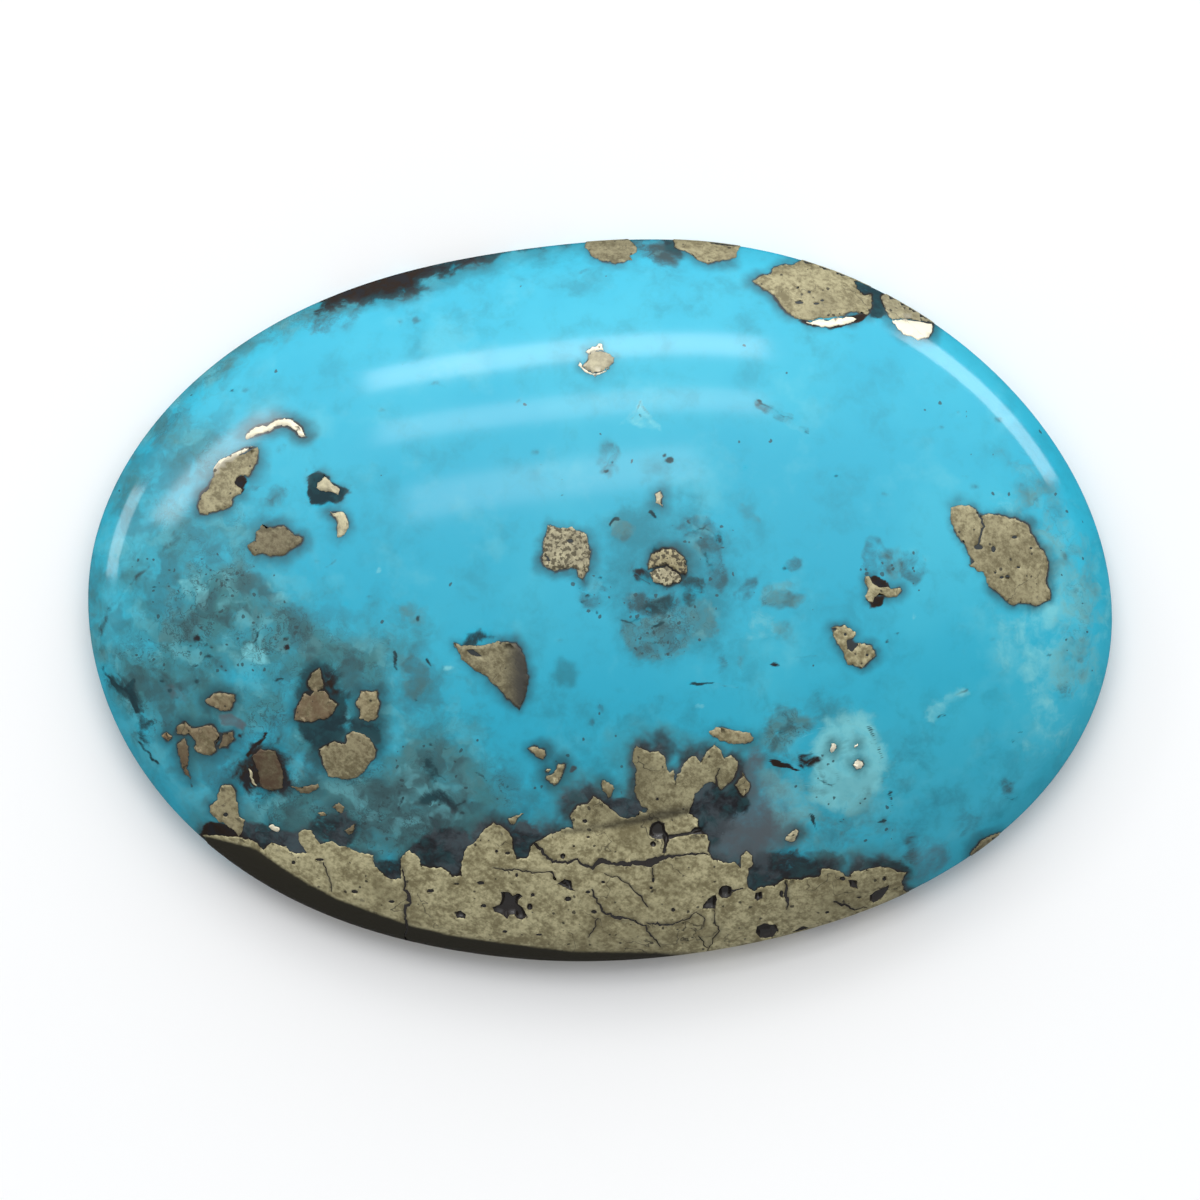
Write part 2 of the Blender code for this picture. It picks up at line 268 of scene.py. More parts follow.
flecks = {
    "leaf": {"dim": 0.4, "rust": 0.1, "at": [
        (258.6, 447.6), (243, 454), (230.5, 459), (216.5, 468), (214, 478), (211, 488), (202, 496),
        (199, 505), (200.5, 513), (209, 515), (215, 511), (227, 509.5), (233, 505), (234, 498.6),
        (242, 493.5), (242.6, 490), (235.6, 484.6), (237.5, 478), (244.5, 476), (249.6, 477),
        (254.7, 467), (260, 456.5)]},
    "sliver": {"paintedGlint": 0.9, "at": [
        (246, 437), (253, 430.6), (258, 427), (267, 427), (277, 420), (287, 419), (294, 420),
        (304, 430.6), (306.5, 436), (303, 437), (296, 430.6), (290, 425.5), (281, 426), (272, 430),
        (259, 435), (248, 440)]},
    "cornerHigh": {"dim": 0.2, "paintedGlint": 0.25, "at": [
        (326, 475), (331, 482), (341, 489), (339, 494), (332, 491), (324, 492.5), (319, 489),
        (319, 484), (324, 479)]},
    "hook": {"dim": 0.2, "paintedGlint": 0.2, "at": [
        (331, 511), (338, 513.5), (343.5, 512), (348.6, 520), (350, 527.6), (345, 534), (338, 538),
        (337, 530), (338, 522), (336, 517)]},
    "crown": {"dim": 0.58, "rust": 0.3, "at": [
        (249, 545), (257, 542), (257, 533), (263, 524), (267, 528), (284, 526), (289, 529), (294, 534),
        (303, 538), (302, 543), (296, 548), (289, 552), (286, 556), (272, 556), (266, 554),
        (255.5, 556), (251, 550.5)]},
    "nugget": {"dim": 0.33, "rust": 0.55, "at": [
        (207, 699), (215, 693), (228, 693), (235, 694), (237, 700), (231, 709), (222, 710), (210, 704)]},
    "clusterMain": {"dim": 0.34, "rust": 0.6, "at": [
        (191, 735), (179, 733.5), (178, 727), (187, 722), (193, 727), (202, 726), (217, 726), (220, 735),
        (216, 745), (217, 751), (212, 754.5), (199.5, 752.6), (196, 749), (197, 741)]},
    "clusterRight": {"dim": 0.5, "rust": 0.7, "at": [
        (220, 744), (225, 732), (234, 731), (235, 738.6), (228, 746), (220, 749)]},
    "clusterTail": {"dim": 0.4, "rust": 0.75, "at": [
        (178, 744), (185, 738), (189.5, 746), (188, 767), (191, 780), (185, 771), (179, 753)]},
    "clusterSmall": {"rust": 0.8, "at": [(162.5, 735), (168, 731), (173, 735), (169, 740)]},
    "pairUpper": {"dim": 0.4, "rust": 0.45, "at": [
        (321, 667), (314, 672), (308, 681), (309.5, 686), (313, 690), (324, 689), (325.5, 684),
        (322, 676)]},
    "pairLower": {"dim": 0.34, "rust": 0.8, "at": [
        (304, 693), (311, 695), (316.5, 689), (327, 691), (338, 704), (334, 713), (327, 719),
        (319, 718), (314, 721), (306, 721), (296, 718), (299, 708), (301, 702)]},
    "square": {"dim": 0.22, "rust": 0.4, "at": [
        (362, 691), (379, 691), (380, 702), (377, 718), (369, 721), (360, 718), (361, 712), (357, 704)]},
    "kite": {"dim": 0.38, "rust": 0.25, "at": [
        (320, 749), (334, 742), (347, 742), (348, 735), (355, 731), (364, 733.5), (374, 742),
        (376.5, 756.5), (368, 767), (357, 776), (342, 778), (329, 777), (324, 764), (322, 755)]},
    "brown": {"dim": 0.6, "rust": 0.95, "at": [
        (254, 755), (262, 748), (277, 750), (279.5, 760), (284, 773), (283, 787), (274, 790),
        (262, 786), (259, 773)]},
    "thin": {"dim": 0.35, "rust": 0.6, "at": [
        (292, 784.5), (304, 787), (319, 782), (321, 786), (311, 792), (301, 792)]},
    "foot": {"dim": 0.2, "rust": 0.25, "at": [
        (223, 785), (231, 784), (235, 788), (236, 797), (238, 804), (240, 815), (246, 818), (245, 825),
        (240, 836), (235, 830), (229, 827), (224, 823), (219, 821), (211, 810), (212, 804), (218, 800),
        (220, 791)]},
    "chipGlint": {"paintedGlint": 0.8, "at": [(269, 825), (274, 824), (281, 828), (279, 831), (273, 829)]},
    "chipDull": {"dim": 0.4, "rust": 0.6, "at": [
        (344, 830), (350, 826), (356, 823), (354, 830), (350, 835)]},
    "chipSmall": {"rust": 0.5, "at": [(318, 812), (324, 810), (328, 813), (322, 815)]},
    "shardsBrown": {"dim": 0.15, "paintedGlint": 0.2, "at": [
        (251, 768), (254, 772), (254, 778), (258, 785), (254, 784), (250, 776)]},
    "leafRim": {"paintedGlint": 0.9, "at": [
        (214, 469), (220, 461), (230, 456), (243, 451), (254, 447), (246, 453), (232, 459), (222, 465),
        (215, 472)]},
    "topLeft": {"dim": 0.52, "rust": 0.1, "over": ((91.6, 0.5), (87.4, 0.4)), "at": [
        (636, 246), (637, 252), (630, 256), (632, 261), (616, 263), (601, 261), (592, 256), (584, 248)]},
    "topRight": {"dim": 0.37, "rust": 0.1, "over": ((78.5, 0.4), (68.4, 0.3)), "at": [
        (738, 250), (736, 258), (724, 260), (709, 264), (697, 259), (686, 252), (674, 247)]},
    "crest": {"dim": 0.31, "rust": 0.05, "over": ((58.4, 0.6), (53.5, 1.0), (49.2, 0.5)), "at": [
        (853, 281), (856, 289), (865, 295), (872, 295), (871, 307), (867, 314), (856, 313), (849, 314),
        (836, 317), (821, 319), (810, 322), (803, 321), (794, 318), (785, 309), (777, 299), (766, 290),
        (753, 282), (761, 275), (770, 274), (773, 269), (784, 265), (794, 264)]},
    "crestShard": {"paintedGlint": 1.0, "at": [
        (806, 324), (820, 321), (835, 318), (850, 318), (857, 320), (847, 325), (834, 326), (822, 328)]},
    "crestEnd": {"dim": 0.35, "paintedGlint": 0.1, "over": ((46.6, 0.6), (42.8, 0.9), (39.7, 0.3)), "at": [
        (932, 322), (917, 320), (903, 319), (892, 320), (886, 312), (882, 303), (881, 296)]},
    "crestLip": {"paintedGlint": 1.0, "at": [
        (892, 321), (904, 320), (918, 321), (932, 324), (932, 331), (929, 338), (918, 339), (906, 336),
        (899, 330)]},
    "oval": {"dim": 0.38, "paintedGlint": 0.35, "at": [
        (588, 356), (592, 352), (603, 352), (613, 358), (613, 364), (607, 369), (600, 373), (592, 373),
        (582, 366), (587, 361)]},
    "ovalTop": {"paintedGlint": 1.0, "at": [
        (586, 352), (592, 347), (602, 345), (604, 351), (596, 352), (588, 355)]},
    "ovalFoot": {"paintedGlint": 1.0, "at": [
        (580, 363), (584, 369), (592, 374), (602, 373), (609, 368), (603, 374), (595, 377), (585, 373),
        (579, 366)]},
    "speckled": {"dim": 0.3, "paintedGlint": 0.2, "mottle": 1.0, "at": [
        (548, 525), (555, 527), (572, 527), (575, 531), (583, 532), (587, 535), (588, 545), (590, 553),
        (589, 563), (587, 572), (584, 580), (582, 577), (578, 577), (576, 570), (572, 567), (566, 569),
        (560, 571), (554, 571), (547, 567), (543, 562), (542, 556), (544, 546), (546, 538)]},
    # the wedge darkens to the right between these x pixels: painted shade for the dark reflection of its
    # tilted side
    "wedge": {"dim": 0.48, "rust": 0.1, "tiltShade": (496, 524), "at": [
        (453, 641), (462, 645), (470, 646), (480, 645), (492, 643), (499, 641), (508, 641), (516, 644),
        (521, 647), (526, 660), (529, 675), (528, 690), (520, 709), (516, 706), (508, 698), (497, 685),
        (487, 677), (475, 668), (463, 660), (459, 652)]},
    "knot": {"dim": 0.15, "paintedGlint": 0.2, "mottle": 1.0, "fray": 2.2, "at": [
        (651, 573), (660, 568), (667, 566), (675, 571), (681, 577), (677, 583), (663, 585), (652, 581)]},
    "knotCrust": {"dim": 0.2, "rust": 0.2, "mottle": 2.6, "fray": 2.2, "at": [
        (648, 564), (651, 554), (662, 549), (673, 550), (683, 557), (686, 567), (684, 576), (677, 570),
        (668, 564), (659, 566), (649, 571)]},
    "eastPatch": {"dim": 0.32, "rust": 0.1, "at": [
        (950, 507.5), (961, 504), (973, 507.6), (980, 517), (987, 513), (1010, 518), (1027, 526),
        (1035, 542), (1044, 553.5), (1047.5, 567), (1044, 581), (1051, 592.5), (1049, 599), (1035, 606),
        (1020, 602), (1010, 605), (1000, 595), (987, 586), (982, 572), (968, 566), (964, 547),
        (954.5, 530.5), (950, 521)]},
    "claw": {"dim": 0.25, "rust": 0.05, "fray": 0.8, "at": [
        (863.5, 577), (868, 576), (871, 583), (877, 587), (887, 587), (890, 589), (899, 588),
        (900, 591), (895, 596), (887, 597), (878, 593), (873, 597), (871, 602), (866.5, 601),
        (863.5, 596), (867, 589), (863.5, 583)]},
    "eight": {"dim": 0.18, "rust": 0.1, "at": [
        (829, 627), (844, 625), (853.5, 631.5), (851, 641), (869.5, 645), (873, 654.5), (860, 668),
        (847, 664), (842, 652), (835, 641)]},
    "raft": {"dim": 0.2, "rust": 0.3, "at": [
        (708, 731), (715, 727), (722, 728), (741, 730), (750, 732), (754, 736), (752, 741), (744, 743),
        (728, 742), (720, 740), (715, 737)]},
    "raftShard": {"dim": 0.3, "rust": 0.2, "at": [
        (742, 770), (748, 782), (748, 790), (744, 795), (740, 792), (734, 783), (737, 779), (742, 776)]},
    "arrow": {"paintedGlint": 0.2, "at": [
        (785, 837), (787, 833), (792, 830), (796, 827), (798, 830), (794, 839), (789, 841), (785, 840)]},
    "pebble": {"dim": 0.25, "rust": 0.1, "at": [
        (601, 779), (605, 779), (611, 782), (615, 787), (613, 791), (609, 796), (607, 796), (607, 793),
        (603, 789)]},
    "dashHigh": {"dim": 0.3, "rust": 0.3, "at": [
        (527, 747), (532, 746), (539, 747), (545, 750), (546, 754), (543, 758), (537, 755), (532, 751)]},
    "dashLow": {"dim": 0.3, "rust": 0.2, "at": [
        (560, 763), (565, 763), (565, 767), (561, 775), (558, 783), (554, 784), (546, 777), (547, 774),
        (552, 773), (556, 768)]},
    "dashChip": {"rust": 0.2, "at": [(545, 771), (548, 768), (552, 767), (549, 770)]},
    "dot": {"dim": 0.3, "rust": 0.2, "at": [
        (508, 817), (515, 815), (522, 811), (525, 811), (518, 816), (514, 822), (511, 822), (509, 819)]},
    "tick": {"paintedGlint": 0.3, "rust": 0.2, "at": [
        (655, 495), (659, 493), (662, 498), (660, 501), (662, 507), (656, 503), (656, 499)]},
    "glintA": {"paintedGlint": 1.0, "at": [(828, 751), (830, 743), (834, 742), (835, 747), (831, 752)]},
    "glintB": {"paintedGlint": 1.0, "at": [(852, 765), (857, 757), (863, 765), (860, 769), (855, 769)]},
    "glintC": {"paintedGlint": 1.0, "at": [(854, 744), (857, 743), (857, 746), (854, 747)]},
    "eastEdge": {"dim": 0.4, "rust": 0.2, "at": [
        (970, 854), (974, 848), (982, 840), (991, 835), (1001, 832), (992, 850), (980, 862)]},
    "goldLeft": {"dim": 0.35, "rust": 0.4, "at": [(333, 806), (339, 802), (346, 807), (341, 813)]},
}
fleckWear = {                             # what is missing from the larger flecks
    "holes": [
        [(852, 276), (858, 283), (866, 289), (878, 294), (884, 290), (868, 276)],
        [(846, 640), (853, 637), (857, 645), (851, 651), (846, 648)],
        [(958, 541), (962, 541), (965, 552), (973, 562), (969, 565), (962, 556)],
        [(468, 650), (474, 649), (478, 652), (483, 656), (478, 656), (472, 654)],
        [(567, 540), (572, 539), (573, 542), (569, 543)],
        [(546, 555), (549, 557), (551, 561), (548, 561)],
    ],
    "dots": (
        (977, 547, 9, 5), (992, 549, 4, 6), (1013, 537, 5, 3), (1006, 576, 4, 3), (1000, 577, 4, 2),
        (1017, 567, 3, 2), (799, 303, 8, 3), (816, 304, 6, 2), (822, 301, 4, 2), (809, 292, 3, 2),
        (797, 288, 2, 2), (831, 629, 8, 3), (844, 634, 3, 3), (866, 655, 3, 2), (226, 814, 5, 4),
        (840, 658, 3, 2), (1030, 548, 3, 2), (994, 573, 2, 2),
    ),
    "cracks": [
        [(976, 512, 1.5), (981, 519, 2.4), (982, 528, 2), (979, 536, 2), (977, 546, 2)],
        [(219, 736, 1), (217, 742, 2), (218, 750, 1.5)],
    ],
}
ragged = {                                # in pixels, but for the heights, which are in mm
    "step": 1.7,                          # length of one step along a broken edge
    "crackStep": 2.6,
    "waves": ((0.09, 1.0), (0.31, 0.6), (0.83, 0.55)),    # fineness and reach of each push
    "crackWaves": ((0.16, 2.2), (0.45, 1.6)),
    "cell": 6.0,                          # facets of the flecks, and of the seam
    "seamCell": 4.5,
    "rim": 0.6,
    "proud": 0.03,                        # height over the stone, and at the flat back
    "flush": 0.004,
    "rimSunk": 0.006,
    "buried": 0.08,
    "seamBuried": 0.30,
}


def pushed(place, waves):                 # noise of several finenesses, added up
    return sum((noise.noise_vector(place * fineness) * reach for fineness, reach in waves), Vector())


def roughOutline(points, seed, wander=1.8):   # short steps, each pushed about, as broken ore has
    rough = []
    for here, ahead in zip(points, points[1:] + points[:1]):
        start, run = Vector(here), Vector(ahead) - Vector(here)
        count = max(1, round(run.length / ragged["step"]))
        for index in range(count):
            spot = start + run * (index / count)
            push = pushed(Vector((spot.x, spot.y, seed)), ragged["waves"])
            rough.append((spot.x + push.x * wander, spot.y + push.y * wander))
    return rough


def dotOutline(x, y, width, height):      # a small pit, rounder than it is ragged
    turns = [2 * math.pi * step / 9 for step in range(9)]
    uneven = [1 + 0.22 * noise.noise(Vector((x, y, turn))) for turn in turns]
    return [(x + width / 2 * grow * math.cos(turn), y + height / 2 * grow * math.sin(turn))
            for turn, grow in zip(turns, uneven)]


def wanderCrack(crack):                   # short steps along the crack, pushed about, with an uneven width
    steps = []
    for start, end in zip(crack, crack[1:]):
        start, run = Vector(start), Vector(end) - Vector(start)
        count = max(1, round(run.xy.length / ragged["crackStep"]))
        steps += [start + run * (index / count) for index in range(count)]
    steps.append(Vector(crack[-1]))
    for step in steps:
        place = Vector((step.x, step.y, 90.0))
        push = pushed(place, ragged["crackWaves"])
        width = (step.z * 1.15 - 0.75) * (1 + 0.9 * noise.noise(place * 0.35))
        step.x, step.y, step.z = step.x + push.x, step.y + push.y, max(0.5, width)
    return steps


def crackOutline(crack):                  # down one side of the crack and back up the other
    steps = wanderCrack(crack)
    middle = [step.xy for step in steps]
    left, right = [], []
    for index, step in enumerate(steps):
        run = middle[min(index + 1, len(middle) - 1)] - middle[max(index - 1, 0)]
        side = Vector((-run.y, run.x)).normalized() * step.z / 2
        left.append(tuple(middle[index] + side))
        right.append(tuple(middle[index] - side))
    return left + right[::-1]


def flatPlaces(verts):
    return np.array([vert.co[:2] for vert in verts])


def pick(items, kind):                    # the vertices or the edges among an operator's results
    return [item for item in items if isinstance(item, kind)]


def addPiece(name, bm, material):
    mesh = bpy.data.meshes.new(name)
    bm.to_mesh(mesh)
    mesh.validate()
    bm.free()
    piece = bpy.data.objects.new(name, mesh)
    bpy.context.scene.collection.objects.link(piece)
    mesh.materials.append(material)
    mesh.shade_smooth()
    return piece


def storeAttribute(piece, name, values):
    layer = piece.data.attributes.new(name, "FLOAT", "POINT")
    layer.data.foreach_set("value", np.asarray(values, np.float32))


def addPrism(bm, outline, low, high):     # upright prism over an outline in pixels
    ring = [bm.verts.new((x, y, low)) for x, y in outline]
    raised = bmesh.ops.extrude_face_region(bm, geom=[bm.faces.new(ring)])["geom"]
    bmesh.ops.translate(bm, verts=pick(raised, bmesh.types.BMVert), vec=(0, 0, high - low))


def carve(bm, outlines, fray):            # takes prisms of these outlines out of a slab from 0 to 1
    cutter = bmesh.new()
    for index, outline in enumerate(outlines):
        addPrism(cutter, roughOutline(outline, 50.0 + index, fray), -1, 2)
    bmesh.ops.recalc_face_normals(cutter, faces=cutter.faces)
    bmesh.ops.recalc_face_normals(bm, faces=bm.faces)
    slab, tool = addPiece("slab", bm, pyriteMaterial), addPiece("tool", cutter, pyriteMaterial)
    modifier = slab.modifiers.new("carve", "BOOLEAN")
    modifier.object, modifier.solver, modifier.use_self = tool, "EXACT", True
    carved = bmesh.new()
    carved.from_object(slab, bpy.context.evaluated_depsgraph_get())
    for item in (slab, tool):
        bpy.data.objects.remove(item)
    return carved


def gridCut(bm, cell):                    # planes across both ways, so that the slab can bend with the dome
    for axis in (0, 1):
        low = min(vert.co[axis] for vert in bm.verts)
        high = max(vert.co[axis] for vert in bm.verts)
        normal = (1, 0, 0) if axis == 0 else (0, 1, 0)
        for count in range(1, int((high - low) / cell) + 1):
            spot = [0, 0, 0]
            spot[axis] = low + count * cell + 0.013       # a little off, so that no plane meets a vertex
            geometry = bm.verts[:] + bm.edges[:] + bm.faces[:]
            bmesh.ops.bisect_plane(bm, geom=geometry, dist=1e-5, plane_co=spot, plane_no=normal)


def chamferTops(bm):                      # a narrow sloping rim round every top
    tops = [face for face in bm.faces if all(vert.co.z > 0.99 for vert in face.verts)]
    rim = {"thickness": ragged["rim"], "use_boundary": True, "use_even_offset": False}
    bmesh.ops.inset_region(bm, faces=tops, **rim)
    inner = {vert for face in tops for vert in face.verts}
    for vert in bm.verts:
        if vert.co.z > 0.99 and vert not in inner:
            vert.co.z = 0.5


def layOnStone(bm, buried):               # wraps the flat slab round the stone: 0 bottom, 0.5 rim, 1 top
    flat = fromPhoto(flatPlaces(bm.verts))
    levels = np.array([vert.co.z for vert in bm.verts])
    over = pastEdge(flat)
    proud = np.interp(over, (girdleRun, sideRun), (ragged["proud"], ragged["flush"]))
    sunk = np.interp(levels, (0, 0.5), (-buried, -ragged["rimSunk"]))
    lift = np.where(levels > 0.9, proud, sunk)
    for vert, place in zip(bm.verts, wrap(flat) + wrapNormal(flat) * lift[:, None]):
        vert.co = Vector(place) * mm
    bmesh.ops.recalc_face_normals(bm, faces=bm.faces)
    return over


def polygonGap(points, polygon):          # distance to an outline, below nought inside it
    polygon = np.asarray(polygon, float)
    ahead = np.roll(polygon, -1, axis=0)
    nearest = np.full(len(points), 1e9)
    inside = np.zeros(len(points), bool)
    for start, end in zip(polygon, ahead):
        run = end - start
        along = np.clip(((points - start) @ run) / max(run @ run, 1e-9), 0, 1)
        nearest = np.minimum(nearest, np.linalg.norm(points - start - along[:, None] * run, axis=1))
        crosses = (start[1] > points[:, 1]) != (end[1] > points[:, 1])
        rise = np.where(crosses, (points[:, 1] - start[1]) / (end[1] - start[1] + 1e-12), 0)
        inside ^= crosses & (points[:, 0] < start[0] + rise * run[0])
    return np.where(inside, -nearest, nearest)


def gapTo(points, outline, margin):       # the same, worked out only near the outline
    gap = np.full(len(points), float(margin))
    outline = np.asarray(outline, float)[:, :2]
    near = np.all((points > outline.min(0) - margin) & (points < outline.max(0) + margin), axis=1)
    if near.any():
        gap[near] = np.minimum(margin, polygonGap(points[near], outline))
    return gap


# Small helpers for the materials' nodes.
def addNode(tree, kind, inputs=None, **settings):
    node = tree.nodes.new(kind)
    for name, value in settings.items():
        setattr(node, name, value)
    for name, value in (inputs or {}).items():
        socket = node.inputs[name]
        if isinstance(value, bpy.types.NodeSocket):
            tree.links.new(value, socket)
        else:
            socket.default_value = value
    return node


def calc(tree, operation, first, second=0.0):
    return addNode(tree, "ShaderNodeMath", {0: first, 1: second}, operation=operation).outputs[0]


def times(tree, first, second):
    return calc(tree, "MULTIPLY", first, second)


def plus(tree, total, *others):
    for other in others:
        total = calc(tree, "ADD", total, other)
    return total


def fade(tree, value, low, high):         # nought at low, one at high, smooth between
    ends = {"Value": value, "From Min": low, "From Max": high}
    return addNode(tree, "ShaderNodeMapRange", ends, interpolation_type="SMOOTHSTEP").outputs["Result"]


def between(tree, share, low, high):      # low where the share is nought, high where it is one
    ends = {"Value": share, "To Min": low, "To Max": high}
    return addNode(tree, "ShaderNodeMapRange", ends).outputs["Result"]


def blendColour(tree, factor, first, second):
    node = addNode(tree, "ShaderNodeMix", {"Factor": factor}, data_type="RGBA")
    for socket, value in zip((node.inputs[6], node.inputs[7]), (first, second)):
        if isinstance(value, bpy.types.NodeSocket):
            tree.links.new(value, socket)
        else:
            socket.default_value = (*value, 1.0)
    return node.outputs[2]


def tint(tree, under, ink, share, most=1.0):   # lays an ink over a colour, at most this strong
    return blendColour(tree, times(tree, share, most), under, ink)


def grain(tree, coords, scale, detail=3.0, roughness=0.55):
    inputs = {"Vector": coords, "Scale": scale, "Detail": detail, "Roughness": roughness}
    return addNode(tree, "ShaderNodeTexNoise", inputs).outputs["Fac"]


def swing(tree, value, reach):            # a grain as a push to either side of nought
    return times(tree, calc(tree, "SUBTRACT", value, 0.5), reach)


def wisps(tree, value, width):            # thin lines where a grain crosses its middle
    return fade(tree, calc(tree, "ABSOLUTE", calc(tree, "SUBTRACT", value, 0.5)), width, 0.0)


def warp(tree, coords, scale, reach):     # coordinates pushed about, so that no cell edge is straight
    push = addNode(tree, "ShaderNodeTexNoise", {"Vector": coords, "Scale": scale, "Detail": 3.0})
    middle = {0: push.outputs["Color"], 1: (0.5, 0.5, 0.5)}
    step = addNode(tree, "ShaderNodeVectorMath", middle, operation="SUBTRACT")
    step = addNode(tree, "ShaderNodeVectorMath", {0: step.outputs[0], "Scale": reach}, operation="SCALE")
    moved = addNode(tree, "ShaderNodeVectorMath", {0: coords, 1: step.outputs[0]}, operation="ADD")
    return moved.outputs[0]


def splitCells(tree, coords, scale):      # Voronoi cells: distance to the middle, and two lots drawn for each
    cells = addNode(tree, "ShaderNodeTexVoronoi", {"Vector": coords, "Scale": scale})
    lots = addNode(tree, "ShaderNodeSeparateColor", {"Color": cells.outputs["Color"]})
    return cells.outputs["Distance"], lots.outputs["Red"], lots.outputs["Green"]


def dots(tree, coords, scale, size, density):  # small dots, the more the higher the density
    distance, lot, otherLot = splitCells(tree, coords, scale)
    chosen = calc(tree, "GREATER_THAN", plus(tree, lot, density), 1.0)
    inside = calc(tree, "SUBTRACT", times(tree, otherLot, size), distance)
    return times(tree, chosen, fade(tree, inside, -0.03, 0.06))


def readAttribute(tree, name):
    return addNode(tree, "ShaderNodeAttribute", attribute_name=name).outputs["Fac"]


def newMaterial(name):
    material = bpy.data.materials.new(name)
    material.use_nodes = True
    tree = material.node_tree
    shader = tree.nodes["Principled BSDF"]
    coords = addNode(tree, "ShaderNodeTexCoord").outputs["Object"]
    return material, tree, shader, coords


turquoise = {                             # colours, as linear light
    "sky": (0.018, 0.405, 0.580),
    "skyLight": (0.036, 0.455, 0.620),
    "deep": (0.014, 0.230, 0.310),
    "pale": (0.190, 0.610, 0.680),
    "teal": (0.044, 0.190, 0.208),
    "grey": (0.070, 0.217, 0.238),
    "slate": (0.025, 0.060, 0.068),
    "shade": (0.008, 0.070, 0.090),
    "violet": (0.090, 0.116, 0.132),
    "brown": (0.024, 0.016, 0.012),
    "matrix": (0.020, 0.020, 0.023),
    "back": (0.060, 0.340, 0.420),
    "gloss": 0.12,
    "backGloss": 0.42,
    "mirror": 0.5,                        # the polish mirrors less on the dull matrix
    "matrixMirror": 0.06,
    "ior": 1.6,
    "grains": {                           # scale per metre, detail and roughness of each noise
        "broad": (130, 4, 0.55),
        "middle": (330, 4, 0.6),
        "cloud": (560, 7, 0.66),
        "facets": (700, 3, 0.5),
        "patchy": (1500, 4, 0.6),
        "grit": (3000, 4, 0.65),
    },
    "bend": (900, 0.0009),                # scale and reach of the warp under the coarse grains
    "loosen": (3000, 0.00025),            # and under the specks
    "cells": 950,
    "specks": (4600, 0.42),               # scale and size of the specks
    "speckLeast": 0.004,                  # how many there are everywhere, and more where painted
    "speckMore": 0.5,
    "cloudDeep": 0.4,                     # from here on, the most that each layer covers
    "cloudPale": 0.2,
    # painted shade over the shoulder
    "shoulderShade": 0.25,
    "facetDark": 0.66,
    "facetPale": 0.36,
    "veinDark": 0.8,
    "speckDark": 0.8,
    "pyriteShade": 0.8,
    "pyriteRim": 0.9,
    "fringeHaze": 0.5,
    "fringeDark": 0.92,
    "fringeMist": 0.6,
    "farShade": 0.36,
}
inkEdges = {                              # strength at which each ink begins to show, and is full
    "deep": (0.0, 1.1),
    "teal": (0.0, 1.1),
    "pale": (0.1, 1.3),
    "grey": (0.0, 1.3),
    "slate": (0.1, 1.3),
    "violet": (0.05, 1.2),
    "matrix": (0.2, 0.8),
    "brown": (0.2, 0.75),
}
pyrite = {
    "bright": (0.71, 0.65, 0.385),
    "mid": (0.47, 0.41, 0.222),
    "dull": (0.200, 0.168, 0.080),
    "rust": (0.19, 0.100, 0.050),
    # pale cream for the painted highlights on flecks that catch the light
    "paintedGlint": (0.95, 0.88, 0.68),
    "dark": (0.020, 0.017, 0.012),
    "olive": (0.085, 0.072, 0.040),
    # painted shade for the wedge's tilted side
    "tiltShade": (0.055, 0.052, 0.042),
    # painted shade for the seam's shoulder band, in place of its dark reflection
    "shadeBand": (0.026, 0.022, 0.010),
    "metal": 0.22,
    "gloss": 0.42,
    "scratchTurn": -37,                   # direction of the scratches in degrees, and how drawn out they are
    "scratchScale": 0.06,
    "bump": 0.00008,
    "bumpStrength": 0.5,
    "grains": {                           # scale per metre, detail and roughness of each noise
        "broad": (260, 5, 0.6),
        "hair": (300, 4, 0.5),
        "scratch": (420, 4, 0.75),
        "cloud": (1100, 7, 0.7),
        "grit": (5200, 4, 0.7),
        "spot": (6500, 2, 0.55),
    },
    "bend": (1200, 0.0005),               # scale and reach of the warp under the clouds and hair lines
    "loosen": (3000, 0.0002),             # and under the pores
    "pores": (4700, 0.4, 0.12),           # scale, size and share of the pores
    "midShare": 0.2,                      # from here on, the most that each layer covers
    "patchDull": 0.6,
    "patchDark": 0.6,
    "poreDark": 0.8,
    "spotOlive": 0.9,
    "hairDark": 0.8,
    # painted shadow along the fold
    "foldShadow": 0.7,
    "crackDark": 0.6,
}


def inkShare(tree, ink, breakup):         # the painted ink, broken up by the grain
    level = readAttribute(tree, ink + "Ink")
    share = fade(tree, plus(tree, level, breakup), *inkEdges[ink])
    return times(tree, share, fade(tree, level, 0.0, 0.15))


